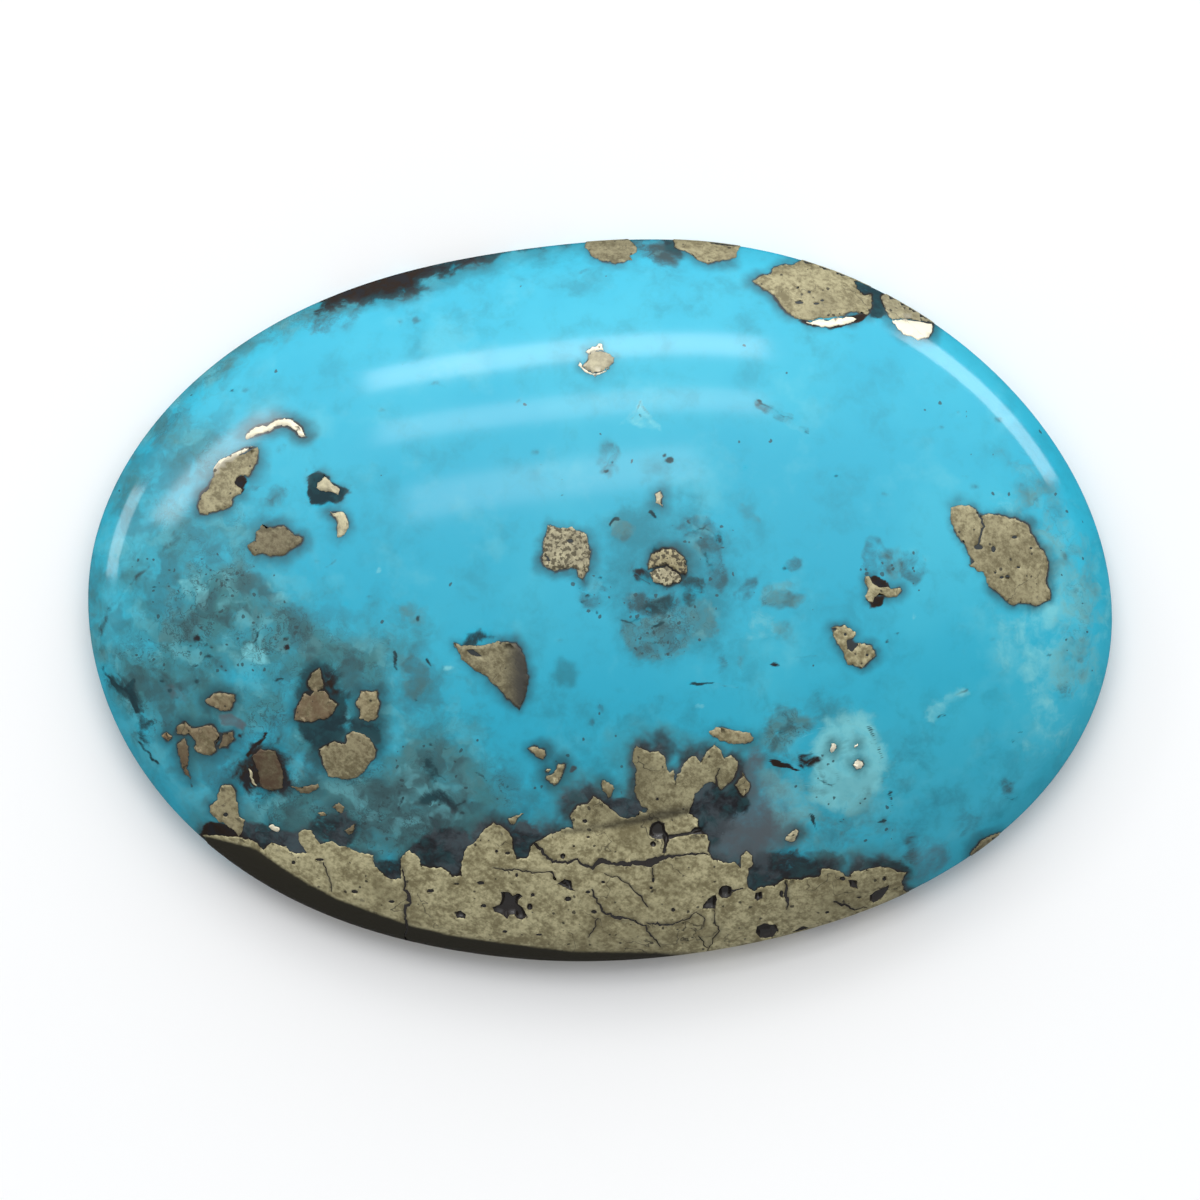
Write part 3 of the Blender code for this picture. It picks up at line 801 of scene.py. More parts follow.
def makeTurquoise():
    material, tree, shader, coords = newMaterial("polishedTurquoise")
    gap = readAttribute(tree, "pyriteGap")
    seamGap = readAttribute(tree, "seamGap")
    over = readAttribute(tree, "edgeOver")
    bent = warp(tree, coords, *turquoise["bend"])
    loose = warp(tree, coords, *turquoise["loosen"])
    grains = turquoise["grains"]
    broad = grain(tree, coords, *grains["broad"])
    middle = grain(tree, coords, *grains["middle"])
    cloud = grain(tree, bent, *grains["cloud"])
    facets = grain(tree, bent, *grains["facets"])
    patchy = grain(tree, bent, *grains["patchy"])
    grit = grain(tree, coords, *grains["grit"])
    lot = splitCells(tree, bent, turquoise["cells"])[1]
    smooth = plus(tree, swing(tree, cloud, 1.5), swing(tree, grit, 0.35))
    grainy = plus(tree, swing(tree, cloud, 1.6), swing(tree, patchy, 1.6), swing(tree, lot, 0.2))

    # the plain stone, and the inks painted on it
    colour = blendColour(tree, fade(tree, broad, 0.35, 0.7), turquoise["sky"], turquoise["skyLight"])
    colour = tint(tree, colour, turquoise["deep"], fade(tree, cloud, 0.46, 0.74), turquoise["cloudDeep"])
    colour = tint(tree, colour, turquoise["pale"], fade(tree, middle, 0.46, 0.28), turquoise["cloudPale"])
    # painted shade: the stone turns deeper teal over the shoulder, out to the widest line
    colour = tint(tree, colour, turquoise["deep"], fade(tree, over, -0.9, 0.0), turquoise["shoulderShade"])
    for ink in ("deep", "teal", "pale", "grey", "slate"):
        breakup = smooth if ink in ("deep", "teal") else grainy
        colour = tint(tree, colour, turquoise[ink], inkShare(tree, ink, breakup))

    # facets, fine lines and specks in the cloudy places
    clouded = readAttribute(tree, "tealInk")
    for ink in ("slate", "grey"):
        clouded = calc(tree, "MAXIMUM", clouded, readAttribute(tree, ink + "Ink"))
    tone = plus(tree, facets, swing(tree, lot, 0.06))
    darker = times(tree, clouded, fade(tree, tone, 0.5, 0.63))
    colour = tint(tree, colour, turquoise["slate"], darker, turquoise["facetDark"])
    paler = times(tree, clouded, fade(tree, tone, 0.46, 0.35))
    colour = tint(tree, colour, turquoise["pale"], paler, turquoise["facetPale"])
    lines = calc(tree, "MAXIMUM", wisps(tree, cloud, 0.012), wisps(tree, patchy, 0.022))
    veined = times(tree, fade(tree, clouded, 0.15, 0.9), fade(tree, middle, 0.44, 0.6))
    colour = tint(tree, colour, turquoise["slate"], times(tree, lines, veined), turquoise["veinDark"])
    painted = times(tree, readAttribute(tree, "speckInk"), turquoise["speckMore"])
    specks = dots(tree, loose, *turquoise["specks"], plus(tree, painted, turquoise["speckLeast"]))
    colour = tint(tree, colour, turquoise["slate"], specks, turquoise["speckDark"])

    # the shade round all pyrite, and the dark fringe along the seam
    reach = plus(tree, gap, swing(tree, cloud, 16.0), swing(tree, middle, 40.0))
    colour = tint(tree, colour, turquoise["shade"], fade(tree, reach, 13.0, -4.0), turquoise["pyriteShade"])
    mottled = blendColour(tree, fade(tree, patchy, 0.42, 0.62), turquoise["matrix"], turquoise["slate"])
    mottled = tint(tree, mottled, turquoise["shade"], fade(tree, seamGap, 20.0, 58.0), turquoise["farShade"])
    misty = times(tree, fade(tree, cloud, 0.44, 0.62), fade(tree, seamGap, 58.0, 20.0))
    mottled = tint(tree, mottled, turquoise["violet"], misty, turquoise["fringeMist"])
    fringe = plus(tree, seamGap, plus(tree, swing(tree, facets, 30.0), swing(tree, middle, 50.0)))
    colour = tint(tree, colour, turquoise["teal"], fade(tree, fringe, 30.0, 8.0), turquoise["fringeHaze"])
    colour = tint(tree, colour, mottled, fade(tree, fringe, 15.0, 2.0), turquoise["fringeDark"])

    # smoke, matrix and earth
    colour = tint(tree, colour, turquoise["violet"], inkShare(tree, "violet", smooth))
    colour = tint(tree, colour, mottled, inkShare(tree, "matrix", grainy))
    earthy = blendColour(tree, fade(tree, patchy, 0.45, 0.6), turquoise["brown"], turquoise["matrix"])
    colour = tint(tree, colour, earthy, inkShare(tree, "brown", grainy))
    rimGap = plus(tree, gap, plus(tree, swing(tree, cloud, 9.0), swing(tree, middle, 8.0)))
    colour = tint(tree, colour, turquoise["brown"], fade(tree, rimGap, 2.0, -0.6), turquoise["pyriteRim"])

    # the flat back, duller and with a faint web
    onBack = fade(tree, over, sideRun - 0.2, sideRun + 0.1)
    colour = tint(tree, colour, turquoise["back"], times(tree, onBack, fade(tree, cloud, 0.3, 0.6)))
    web = fade(tree, plus(tree, cloud, broad), 1.16, 1.26)
    colour = tint(tree, colour, turquoise["matrix"], times(tree, onBack, web))
    tree.links.new(colour, shader.inputs["Base Color"])
    gloss = between(tree, onBack, turquoise["gloss"], turquoise["backGloss"])
    tree.links.new(gloss, shader.inputs["Roughness"])
    earth = calc(tree, "MAXIMUM", readAttribute(tree, "matrixInk"), readAttribute(tree, "brownInk"))
    mirror = between(tree, earth, turquoise["mirror"], turquoise["matrixMirror"])
    tree.links.new(mirror, shader.inputs["Specular IOR Level"])
    shader.inputs["IOR"].default_value = turquoise["ior"]
    return material


def makePyrite():
    material, tree, shader, coords = newMaterial("polishedPyrite")
    turn = (0, 0, math.radians(pyrite["scratchTurn"]))
    drawnOut = {"Vector": coords, "Rotation": turn, "Scale": (1, pyrite["scratchScale"], 1)}
    slant = addNode(tree, "ShaderNodeMapping", drawnOut, vector_type="TEXTURE").outputs["Vector"]
    bent = warp(tree, coords, *pyrite["bend"])
    loose = warp(tree, coords, *pyrite["loosen"])
    grains = pyrite["grains"]
    broad = grain(tree, coords, *grains["broad"])
    cloud = grain(tree, bent, *grains["cloud"])
    grit = grain(tree, coords, *grains["grit"])
    lines = grain(tree, slant, *grains["scratch"])
    tone = plus(tree, cloud, swing(tree, grit, 0.9), swing(tree, lines, 0.3))
    colour = blendColour(tree, fade(tree, tone, 0.3, 0.7), pyrite["dull"], pyrite["bright"])
    colour = blendColour(tree, pyrite["midShare"], colour, pyrite["mid"])
    colour = tint(tree, colour, pyrite["dull"], fade(tree, broad, 0.47, 0.7), pyrite["patchDull"])
    colour = tint(tree, colour, pyrite["dark"], fade(tree, cloud, 0.62, 0.72), pyrite["patchDark"])
    rusty = times(tree, readAttribute(tree, "rust"), fade(tree, cloud, 0.3, 0.6))
    colour = tint(tree, colour, pyrite["rust"], rusty)
    # painted highlights: the glint value pales the metal towards cream
    colour = tint(tree, colour, pyrite["paintedGlint"], readAttribute(tree, "paintedGlint"))
    colour = tint(tree, colour, pyrite["dark"], readAttribute(tree, "dim"))

    # pores, spots, hair lines, the painted shadow along the fold and the cracks' darker edges
    colour = tint(tree, colour, pyrite["dark"], dots(tree, loose, *pyrite["pores"]), pyrite["poreDark"])
    spotted = fade(tree, grain(tree, coords, *grains["spot"]), 0.49, 0.57)
    spotted = times(tree, readAttribute(tree, "mottle"), spotted)
    colour = tint(tree, colour, pyrite["olive"], spotted, pyrite["spotOlive"])
    hair = wisps(tree, grain(tree, bent, *grains["hair"]), 0.0045)
    hair = times(tree, hair, fade(tree, broad, 0.45, 0.56))
    colour = tint(tree, colour, pyrite["dark"], hair, pyrite["hairDark"])
    colour = tint(tree, colour, pyrite["dark"], readAttribute(tree, "foldShadowInk"), pyrite["foldShadow"])
    crack = fade(tree, readAttribute(tree, "crackNear"), 0.0, 1.0)
    crack = times(tree, crack, fade(tree, grit, 0.3, 0.6))
    colour = tint(tree, colour, pyrite["dark"], crack, pyrite["crackDark"])

    # the wedge's tilted side and the seam's shoulder band, both painted shade for the dark reflections of
    # steep metal
    tiltShading = plus(tree, readAttribute(tree, "tiltShadeInk"), swing(tree, lines, 0.5))
    colour = tint(tree, colour, pyrite["tiltShade"], fade(tree, tiltShading, 0.15, 0.95))
    shadeBand = fade(tree, plus(tree, readAttribute(tree, "shadeBandInk"), swing(tree, cloud, 0.5)), 0.3, 0.7)
    aboveBack = fade(tree, readAttribute(tree, "edgeOver"), 1.6, 0.6)
    colour = tint(tree, colour, pyrite["shadeBand"], times(tree, shadeBand, aboveBack))
    tree.links.new(colour, shader.inputs["Base Color"])
    shader.inputs["Metallic"].default_value = pyrite["metal"]
    shader.inputs["Roughness"].default_value = pyrite["gloss"]
    uneven = {"Strength": pyrite["bumpStrength"], "Distance": pyrite["bump"], "Height": cloud}
    bump = addNode(tree, "ShaderNodeBump", uneven)
    tree.links.new(bump.outputs["Normal"], shader.inputs["Normal"])
    return material


# The stone's body: a fine square grid drawn out to the dome, then rings down the side and back. It is
# laid out flat first, and made finer round the small markings, before it is wrapped round the stone.
body = {
    "cells": 210,
    "shoulderRings": 7,
    "girdleRings": 5,
    "bevelRings": 4,
    "backRings": (0.3, 1.0, 2.2, 4.0, 6.5, 9.5, 12.0),
    "pitDepth": 0.24,
    "pitSlope": 3,                        # pixels from a pit's rim to its floor
    "fineReach": 3.5,                     # pixels round a marking that get the finer grid
    "crispEdge": 4,                       # patches with a softer edge than this don't need it
    "pyriteReach": 40,                    # pixels up to which the distances to pyrite are stored
    "seamReach": 60,
    "mapWidth": 46.0,
    "mapMiddle": (0.5, 0.37),
    "backMapScale": 0.0077,
    "backMapMiddle": (0.5, 0.88),
}


def squareToDisc(a, b):
    reach = np.maximum(np.abs(a), np.abs(b))
    sideways = np.abs(a) >= np.abs(b)
    safeA, safeB = np.where(a == 0, 1e-9, a), np.where(b == 0, 1e-9, b)
    angle = np.where(sideways, math.pi / 4 * b / safeA + math.pi * (a < 0),
                     math.pi / 2 - math.pi / 4 * a / safeB + math.pi * (b < 0))
    return reach, angle


def ringStops():                          # how far past the widest line each ring lies, in mm
    stops = []
    for start, run, rings in ((-stone["shoulder"], stone["shoulder"], body["shoulderRings"]),
                              (0.0, girdleRun, body["girdleRings"]),
                              (girdleRun, bevelRun, body["bevelRings"])):
        stops += [start + run * ring / rings for ring in range(1, rings + 1)]
    return stops + [sideRun + over for over in body["backRings"]]


def placeRound(verts, angle, reach):
    for vert, x, y in zip(verts, reach * np.cos(angle), reach * np.sin(angle)):
        vert.co = (x, y, 0)


def layOutBody(bm):                       # the whole skin, still flat
    bmesh.ops.create_grid(bm, x_segments=body["cells"], y_segments=body["cells"], size=1.0)
    square = flatPlaces(bm.verts)
    square /= np.abs(square).max()
    reach, angle = squareToDisc(square[:, 0], square[:, 1])
    placeRound(bm.verts, angle, reach * (outlineRadius(angle) - stone["shoulder"]))
    ring = [edge for edge in bm.edges if edge.is_boundary]
    for over in ringStops():
        grown = bmesh.ops.extrude_edge_only(bm, edges=ring)["geom"]
        verts, ring = pick(grown, bmesh.types.BMVert), pick(grown, bmesh.types.BMEdge)
        around = flatPlaces(verts)
        angle = np.arctan2(around[:, 1], around[:, 0])
        placeRound(verts, angle, outlineRadius(angle) + over)
    bm.faces.index_update()
    middles = toPhoto(np.array([face.calc_center_median()[:2] for face in bm.faces]))
    fine = markingDistance(middles) < body["fineReach"]
    edges = [edge for edge in bm.edges if any(fine[face.index] for face in edge.link_faces)]
    bmesh.ops.subdivide_edges(bm, edges=edges, cuts=1, use_grid_fill=True)


def mapSpot(x, y):                        # place on the piece's UV map for the dome and the side
    middleX, middleY = body["mapMiddle"]
    return middleX + x / body["mapWidth"], middleY + y / body["mapWidth"]


def backSpot(x, y):                       # the flat back has its own corner of it
    middleX, middleY = body["backMapMiddle"]
    return middleX + x * body["backMapScale"], middleY + y * body["backMapScale"]


def addMap(bm, places):                   # called while the body is still flat
    uv = bm.loops.layers.uv.new("OFBake")
    bm.verts.index_update()
    for face in bm.faces:
        middle = face.calc_center_median()
        over = middle.xy.length - outlineRadius(math.atan2(middle.y, middle.x))
        for loop in face.loops:
            if over > sideRun:
                loop[uv].uv = backSpot(*places[loop.vert.index][:2])
            else:
                loop[uv].uv = mapSpot(*loop.vert.co.xy)


def closeBack(bm):                        # fills the last ring, with a vertex in its middle
    ring = [edge for edge in bm.edges if edge.is_boundary]
    last = bmesh.ops.holes_fill(bm, edges=ring, sides=0)["faces"]
    middle = bmesh.ops.poke(bm, faces=last)
    uv = bm.loops.layers.uv["OFBake"]
    for face in middle["faces"]:
        for loop in face.loops:
            loop[uv].uv = backSpot(*(loop.vert.co.xy / mm))
    bmesh.ops.recalc_face_normals(bm, faces=bm.faces)


def makeBody(material):
    bm = bmesh.new()
    layOutBody(bm)
    flat = flatPlaces(bm.verts)
    points = toPhoto(flat)
    pit = np.min([gapTo(points, hole, 30) for hole in seamHoles], axis=0)
    sunk = body["pitDepth"] * np.clip(-pit / body["pitSlope"], 0, 1)
    places = wrap(flat) - wrapNormal(flat) * sunk[:, None]
    addMap(bm, places)
    for vert, place in zip(bm.verts, places):
        vert.co = Vector(place) * mm
    closeBack(bm)
    piece = addPiece("turquoiseBody", bm, material)
    over = np.append(pastEdge(flat), sideRun + backRun)        # the last vertex is the back's middle
    points = np.concatenate([points, [(5000.0, 5000.0)]])      # it lies far from every marking
    storeAttribute(piece, "edgeOver", over)
    outlines = [seamOutline, *fleckOutlines.values()]
    gaps = [gapTo(points, outline, body["pyriteReach"]) for outline in outlines]
    storeAttribute(piece, "pyriteGap", np.min(gaps, axis=0))
    storeAttribute(piece, "seamGap", gapTo(points, seamOutline, body["seamReach"]))
    for ink, values in paintInks(points).items():
        storeAttribute(piece, ink + "Ink", values)
    return piece


# Patches in the turquoise, in pixels: ink, strength, width of the soft edge, outline.
patches = {
    "westVeil": ("teal", 0.85, 26, [
        (158, 640), (168, 600), (172, 574), (192, 560), (225, 556), (262, 566), (300, 604), (330, 628),
        (360, 640), (392, 640), (388, 690), (350, 700), (300, 690), (296, 650), (268, 668), (240, 668),
        (215, 690), (160, 700), (112, 676), (104, 655), (140, 645)]),
    "westField": ("teal", 0.5, 60, [
        (100, 450), (180, 400), (240, 420), (280, 520), (320, 600), (430, 640), (480, 740), (520, 800),
        (440, 860), (230, 850), (130, 760), (80, 620)]),
    "rootVeil": ("teal", 0.8, 30, [
        (100, 640), (180, 650), (240, 680), (290, 690), (300, 730), (250, 740), (200, 760), (150, 740),
        (110, 700)]),
    "bankVeil": ("teal", 0.9, 30, [
        (240, 800), (300, 770), (350, 770), (400, 740), (470, 740), (520, 790), (480, 860), (400, 870),
        (300, 850), (240, 830)]),
    "pairVeil": ("teal", 0.75, 30, [
        (285, 650), (340, 632), (400, 660), (410, 745), (340, 780), (280, 760)]),
    "northField": ("deep", 0.3, 80, [
        (330, 300), (600, 235), (860, 290), (800, 330), (600, 300), (400, 330)]),
    "southField": ("deep", 0.32, 90, [
        (300, 760), (480, 700), (700, 690), (900, 740), (1000, 800), (900, 900), (600, 960), (300, 900)]),
    "westGrain": ("grey", 0.62, 3, [
        (170, 578), (180, 598), (196, 608), (206, 626), (196, 640), (160, 642), (166, 606)]),
    "westFacet": ("grey", 0.55, 2.5, [(177, 576), (191, 562), (201, 572), (187, 575)]),
    "westFacetHigh": ("slate", 0.45, 3, [
        (163, 553), (164, 544), (172, 535), (177, 531), (184, 540), (172, 547)]),
    "westPale": ("pale", 0.55, 4, [
        (180, 578), (208, 577), (210, 604), (204, 612), (194, 604), (181, 595)]),
    "westPaleEast": ("pale", 0.4, 6, [
        (222, 600), (236, 594), (251, 584), (262, 578), (296, 590), (300, 604), (262, 600), (240, 601),
        (224, 606)]),
    "westCloud": ("grey", 0.6, 6, [
        (222, 566), (236, 558), (254, 562), (258, 588), (246, 596), (232, 590), (222, 580)]),
    "westSquare": ("slate", 0.42, 2.5, [
        (224, 605), (236, 601), (250, 604), (253, 616), (246, 628), (232, 630), (223, 620)]),
    "westLens": ("grey", 0.7, 2.5, [
        (256, 606), (262, 612), (265, 626), (258, 641), (253, 640), (251, 622)]),
    "westPatchA": ("grey", 0.6, 4, [
        (264, 606), (276, 604), (287, 612), (286, 626), (274, 632), (266, 628)]),
    "westPatchB": ("grey", 0.75, 3, [(272, 634), (284, 632), (292, 638), (290, 652), (276, 650)]),
    "westPaleLow": ("pale", 0.85, 3.5, [
        (240, 646), (258, 641), (272, 650), (270, 663), (258, 661), (248, 655)]),
    "westRing": ("grey", 0.6, 3, [
        (300, 640), (312, 634), (324, 642), (322, 656), (308, 660), (298, 652)]),
    "westSmudge": ("slate", 0.5, 4, [(340, 646), (350, 640), (358, 652), (354, 668), (342, 664)]),
    "westTeal": ("deep", 0.75, 14, [(338, 642), (384, 636), (386, 690), (360, 700), (345, 680)]),
    "tealEast": ("grey", 0.6, 4, [
        (396, 652), (414, 650), (431, 667), (432, 682), (420, 706), (408, 696), (401, 672)]),
    "tealFar": ("grey", 0.4, 5, [(403, 604), (418, 600), (430, 606), (426, 622), (410, 622)]),
    "rootField": ("slate", 0.38, 16, [
        (104, 650), (150, 650), (190, 640), (214, 660), (200, 690), (190, 706), (160, 706), (135, 690),
        (106, 672)]),
    "rootBlotch": ("matrix", 0.58, 6, [
        (103, 666), (116, 672), (128, 676), (140, 690), (142, 712), (150, 728), (148, 748), (138, 742),
        (134, 718), (126, 696), (106, 684)]),
    "rootLight": ("violet", 0.5, 4, [(165, 690), (176, 686), (188, 694), (184, 704), (170, 702)]),
    "lump": ("violet", 1.0, 2.5, [
        (220, 716), (230, 712), (240, 716), (248, 724), (244, 730), (236, 726), (222, 724)]),
    "pairShade": ("matrix", 0.8, 10, [
        (304, 664), (318, 658), (334, 668), (346, 690), (356, 690), (352, 712), (362, 724), (384, 722),
        (386, 744), (372, 740), (350, 732), (338, 744), (322, 752), (302, 742), (296, 724), (296, 690)]),
    "pairBrown": ("brown", 0.7, 6, [(322, 664), (332, 672), (342, 690), (334, 694), (324, 686)]),
    "pairViolet": ("violet", 0.4, 6, [(338, 700), (350, 704), (352, 720), (340, 728), (334, 716)]),
    "pairHaze": ("deep", 0.5, 30, [
        (285, 650), (340, 640), (395, 690), (395, 745), (330, 770), (280, 740)]),
    "brownShade": ("brown", 0.75, 15, [
        (250, 748), (266, 738), (284, 748), (292, 770), (290, 790), (276, 800), (256, 798), (242, 786),
        (236, 774), (242, 760)]),
    "brownHaze": ("slate", 0.55, 22, [
        (226, 745), (262, 728), (300, 742), (308, 790), (280, 815), (240, 808), (222, 785)]),
    "mottleMid": ("slate", 0.7, 5, [
        (302, 756), (318, 748), (330, 758), (328, 780), (312, 782), (300, 772)]),
    "mottlePale": ("pale", 0.3, 5, [(288, 764), (304, 760), (308, 774), (292, 778)]),
    "bankSmoke": ("grey", 0.85, 18, [
        (330, 782), (372, 778), (392, 758), (410, 746), (440, 742), (470, 756), (482, 780), (470, 800),
        (466, 840), (440, 862), (400, 848), (360, 846), (330, 838), (300, 815)]),
    "bankDeep": ("slate", 0.6, 16, [
        (340, 800), (380, 780), (420, 764), (460, 768), (476, 800), (466, 846), (430, 866), (360, 842)]),
    "bankDarkA": ("matrix", 0.7, 6, [
        (428, 756), (436, 754), (440, 766), (446, 776), (438, 780), (430, 770)]),
    "bankDarkB": ("matrix", 0.75, 6, [
        (416, 796), (424, 786), (440, 782), (452, 792), (458, 806), (452, 812), (442, 800), (430, 796),
        (420, 804)]),
    "bankDarkC": ("slate", 0.6, 8, [
        (362, 815), (380, 804), (404, 808), (410, 830), (400, 846), (372, 846), (356, 834)]),
    "bankPaleA": ("pale", 0.4, 5, [(384, 782), (396, 780), (402, 792), (392, 800), (384, 794)]),
    "bankPaleB": ("pale", 0.3, 6, [(402, 812), (416, 808), (428, 816), (424, 828), (408, 826)]),
    "bankPaleC": ("pale", 0.38, 5, [(376, 852), (392, 848), (404, 856), (396, 862), (380, 860)]),
    "bankPaleD": ("pale", 0.2, 8, [(290, 808), (312, 804), (320, 816), (304, 826), (286, 820)]),
    "ditchWest": ("matrix", 0.78, 5, [
        (238, 818), (262, 822), (296, 828), (304, 836), (306, 852), (296, 852), (286, 846), (262, 850),
        (250, 842), (238, 838)]),
    "ditchViolet": ("violet", 0.35, 7, [(248, 826), (272, 826), (292, 834), (290, 842), (262, 840)]),
    "ditchMid": ("matrix", 0.85, 7, [
        (316, 814), (330, 817), (344, 812), (362, 820), (358, 834), (348, 848), (330, 844), (318, 836),
        (308, 826)]),
    "ditchSouth": ("matrix", 0.82, 6, [
        (364, 850), (378, 860), (402, 862), (404, 880), (390, 882), (374, 872)]),
    "ditchNavy": ("matrix", 0.88, 6, [
        (416, 840), (436, 832), (450, 828), (468, 832), (470, 850), (464, 880), (446, 878), (432, 868),
        (420, 864), (410, 850)]),
    "ditchSlate": ("slate", 0.75, 9, [
        (420, 820), (446, 808), (466, 812), (482, 824), (472, 840), (440, 842), (420, 836)]),
    "ditchBay": ("matrix", 0.85, 5, [
        (512, 834), (520, 824), (536, 826), (546, 834), (534, 858), (514, 860)]),
    "ditchPeak": ("slate", 0.5, 8, [
        (470, 836), (486, 818), (506, 812), (520, 820), (512, 832), (494, 826)]),
    "isleGap": ("matrix", 0.85, 3.5, [
        (602, 800), (618, 796), (634, 794), (644, 806), (642, 816), (622, 818), (606, 808)]),
    "isleViolet": ("violet", 0.4, 4, [(618, 800), (632, 798), (636, 806), (622, 810)]),
    "towerHaze": ("slate", 0.4, 14, [
        (556, 816), (580, 794), (620, 778), (634, 740), (644, 742), (640, 800), (610, 806)]),
    "footGap": ("brown", 0.95, 3, [
        (204, 824), (214, 820), (236, 828), (242, 838), (222, 838), (202, 836)]),
    "footSlate": ("slate", 0.5, 4, [(200, 792), (210, 784), (220, 788), (214, 804), (206, 806)]),
    "caveBlack": ("matrix", 1.1, 5, [
        (688, 802), (694, 788), (706, 780), (718, 782), (724, 790), (736, 780), (744, 792), (748, 802),
        (742, 812), (728, 808), (716, 812), (706, 828), (694, 820)]),
    "caveNavy": ("matrix", 0.85, 12, [
        (700, 806), (724, 798), (742, 804), (730, 816), (716, 830), (706, 850), (698, 834)]),
    "smokeViolet": ("violet", 1.1, 24, [
        (704, 820), (716, 806), (730, 792), (752, 786), (772, 800), (784, 824), (776, 846), (756, 858),
        (730, 862), (708, 850)]),
    "smokeBlack": ("matrix", 0.8, 14, [
        (700, 816), (716, 806), (728, 812), (726, 830), (716, 846), (702, 842)]),
    "smokeTall": ("violet", 0.8, 12, [
        (744, 752), (758, 742), (764, 760), (762, 790), (760, 806), (746, 800), (742, 776)]),
    "smokeDeep": ("slate", 0.3, 20, [
        (742, 750), (800, 742), (830, 800), (800, 860), (740, 860), (720, 810)]),
    "southSlate": ("matrix", 0.76, 8, [
        (748, 872), (758, 854), (780, 850), (800, 856), (822, 862), (838, 868), (820, 878), (784, 882),
        (768, 888), (750, 892)]),
    "southBlotch": ("slate", 0.9, 4, [
        (802, 856), (814, 850), (830, 848), (842, 852), (844, 862), (834, 868), (812, 864)]),
    "southEdge": ("matrix", 0.75, 6, [
        (872, 862), (884, 857), (900, 861), (912, 868), (906, 876), (888, 870)]),
    "smearA": ("slate", 0.6, 8, [(902, 838), (912, 832), (920, 842), (918, 862), (908, 874), (900, 862)]),
    "smearB": ("violet", 0.5, 14, [
        (908, 850), (930, 842), (950, 846), (958, 860), (940, 876), (914, 882)]),
    "pondVeil": ("teal", 0.2, 26, [
        (760, 700), (830, 690), (900, 730), (910, 820), (860, 870), (780, 860), (750, 800)]),
    "smokeThin": ("violet", 0.6, 24, [(750, 770), (790, 784), (806, 815), (796, 850), (760, 850)]),
    "pondMist": ("pale", 0.9, 20, [
        (760, 770), (800, 776), (816, 812), (800, 850), (770, 840), (756, 806)]),
    "pondWest": ("grey", 1.0, 9, [
        (764, 726), (772, 708), (782, 704), (796, 710), (812, 716), (812, 728), (800, 738), (788, 752),
        (772, 750), (762, 738)]),
    "pond": ("pale", 1.15, 12, [
        (812, 764), (810, 744), (824, 726), (842, 712), (866, 716), (884, 736), (886, 764), (882, 792),
        (868, 802), (850, 816), (822, 808), (804, 796)]),
    "pondDim": ("teal", 0.35, 12, [
        (800, 760), (822, 752), (836, 768), (832, 790), (812, 800), (798, 784)]),
    "pondBright": ("pale", 1.2, 14, [
        (826, 718), (850, 712), (872, 724), (882, 744), (882, 766), (866, 776), (846, 768), (834, 740)]),
    "pondBlob": ("brown", 0.75, 4, [
        (796, 764), (801, 752), (814, 750), (820, 762), (810, 772), (800, 770)]),
    "pondEast": ("grey", 0.55, 12, [
        (848, 796), (868, 790), (888, 800), (890, 830), (870, 842), (846, 838), (840, 814)]),
    "pondSouth": ("grey", 0.5, 14, [(796, 826), (836, 818), (860, 840), (850, 852), (806, 850)]),
    "knotShade": ("matrix", 0.9, 3.5, [
        (648, 560), (654, 550), (666, 546), (680, 550), (688, 562), (688, 578), (680, 588), (662, 590),
        (650, 582)]),
    "knotVeil": ("deep", 0.75, 26, [
        (600, 520), (640, 500), (700, 505), (735, 540), (735, 600), (720, 650), (670, 668), (625, 650),
        (605, 600)]),
    "knotNorth": ("slate", 0.62, 4, [
        (676, 530), (684, 518), (694, 513), (706, 512), (716, 517), (722, 527), (726, 538), (722, 550),
        (726, 565), (728, 580), (720, 592), (708, 586), (700, 565), (690, 552), (682, 540)]),
    "knotRed": ("brown", 0.62, 3.5, [(714, 534), (720, 529), (726, 536), (723, 544), (715, 543)]),
    "knotWest": ("brown", 0.7, 4, [(630, 574), (638, 568), (650, 572), (648, 582), (634, 582)]),
    "knotEast": ("matrix", 0.5, 4.5, [
        (678, 588), (690, 578), (704, 584), (702, 598), (692, 606), (680, 602)]),
    "knotSouthWest": ("slate", 0.75, 4, [
        (622, 600), (630, 592), (644, 592), (656, 598), (670, 595), (682, 602), (674, 614), (660, 620),
        (644, 616), (630, 610)]),
    "knotSouthDark": ("matrix", 0.62, 4.5, [
        (644, 607), (652, 600), (668, 598), (674, 606), (664, 616), (650, 614)]),
    "knotSouth": ("grey", 0.7, 4.5, [
        (622, 618), (640, 620), (665, 612), (700, 598), (716, 612), (719, 630), (711, 640), (692, 643),
        (680, 655), (660, 660), (640, 655), (626, 640), (620, 628)]),
    "knotSouthDeep": ("slate", 0.3, 8, [
        (626, 622), (660, 616), (676, 630), (664, 650), (640, 650), (628, 638)]),
    "westOfKnot": ("slate", 0.5, 5, [
        (578, 590), (582, 576), (596, 572), (606, 580), (604, 600), (590, 606), (580, 602)]),
    "outlineSpot": ("grey", 0.65, 3, [
        (609, 524), (618, 519), (634, 527), (634, 536), (622, 541), (610, 534)]),
    "eastSpot": ("slate", 0.7, 3, [
        (784, 560), (792, 555), (800, 560), (802, 566), (790, 574), (782, 570)]),
    "eastSlant": ("slate", 0.42, 3.5, [
        (735, 600), (736, 590), (746, 580), (760, 578), (756, 592), (746, 600)]),
    "eastSoft": ("grey", 0.62, 4, [
        (760, 600), (765, 590), (780, 583), (790, 585), (793, 597), (806, 597), (800, 608), (765, 608)]),
    "eastPale": ("pale", 0.32, 9, [
        (740, 622), (756, 612), (776, 618), (772, 636), (756, 642), (744, 636)]),
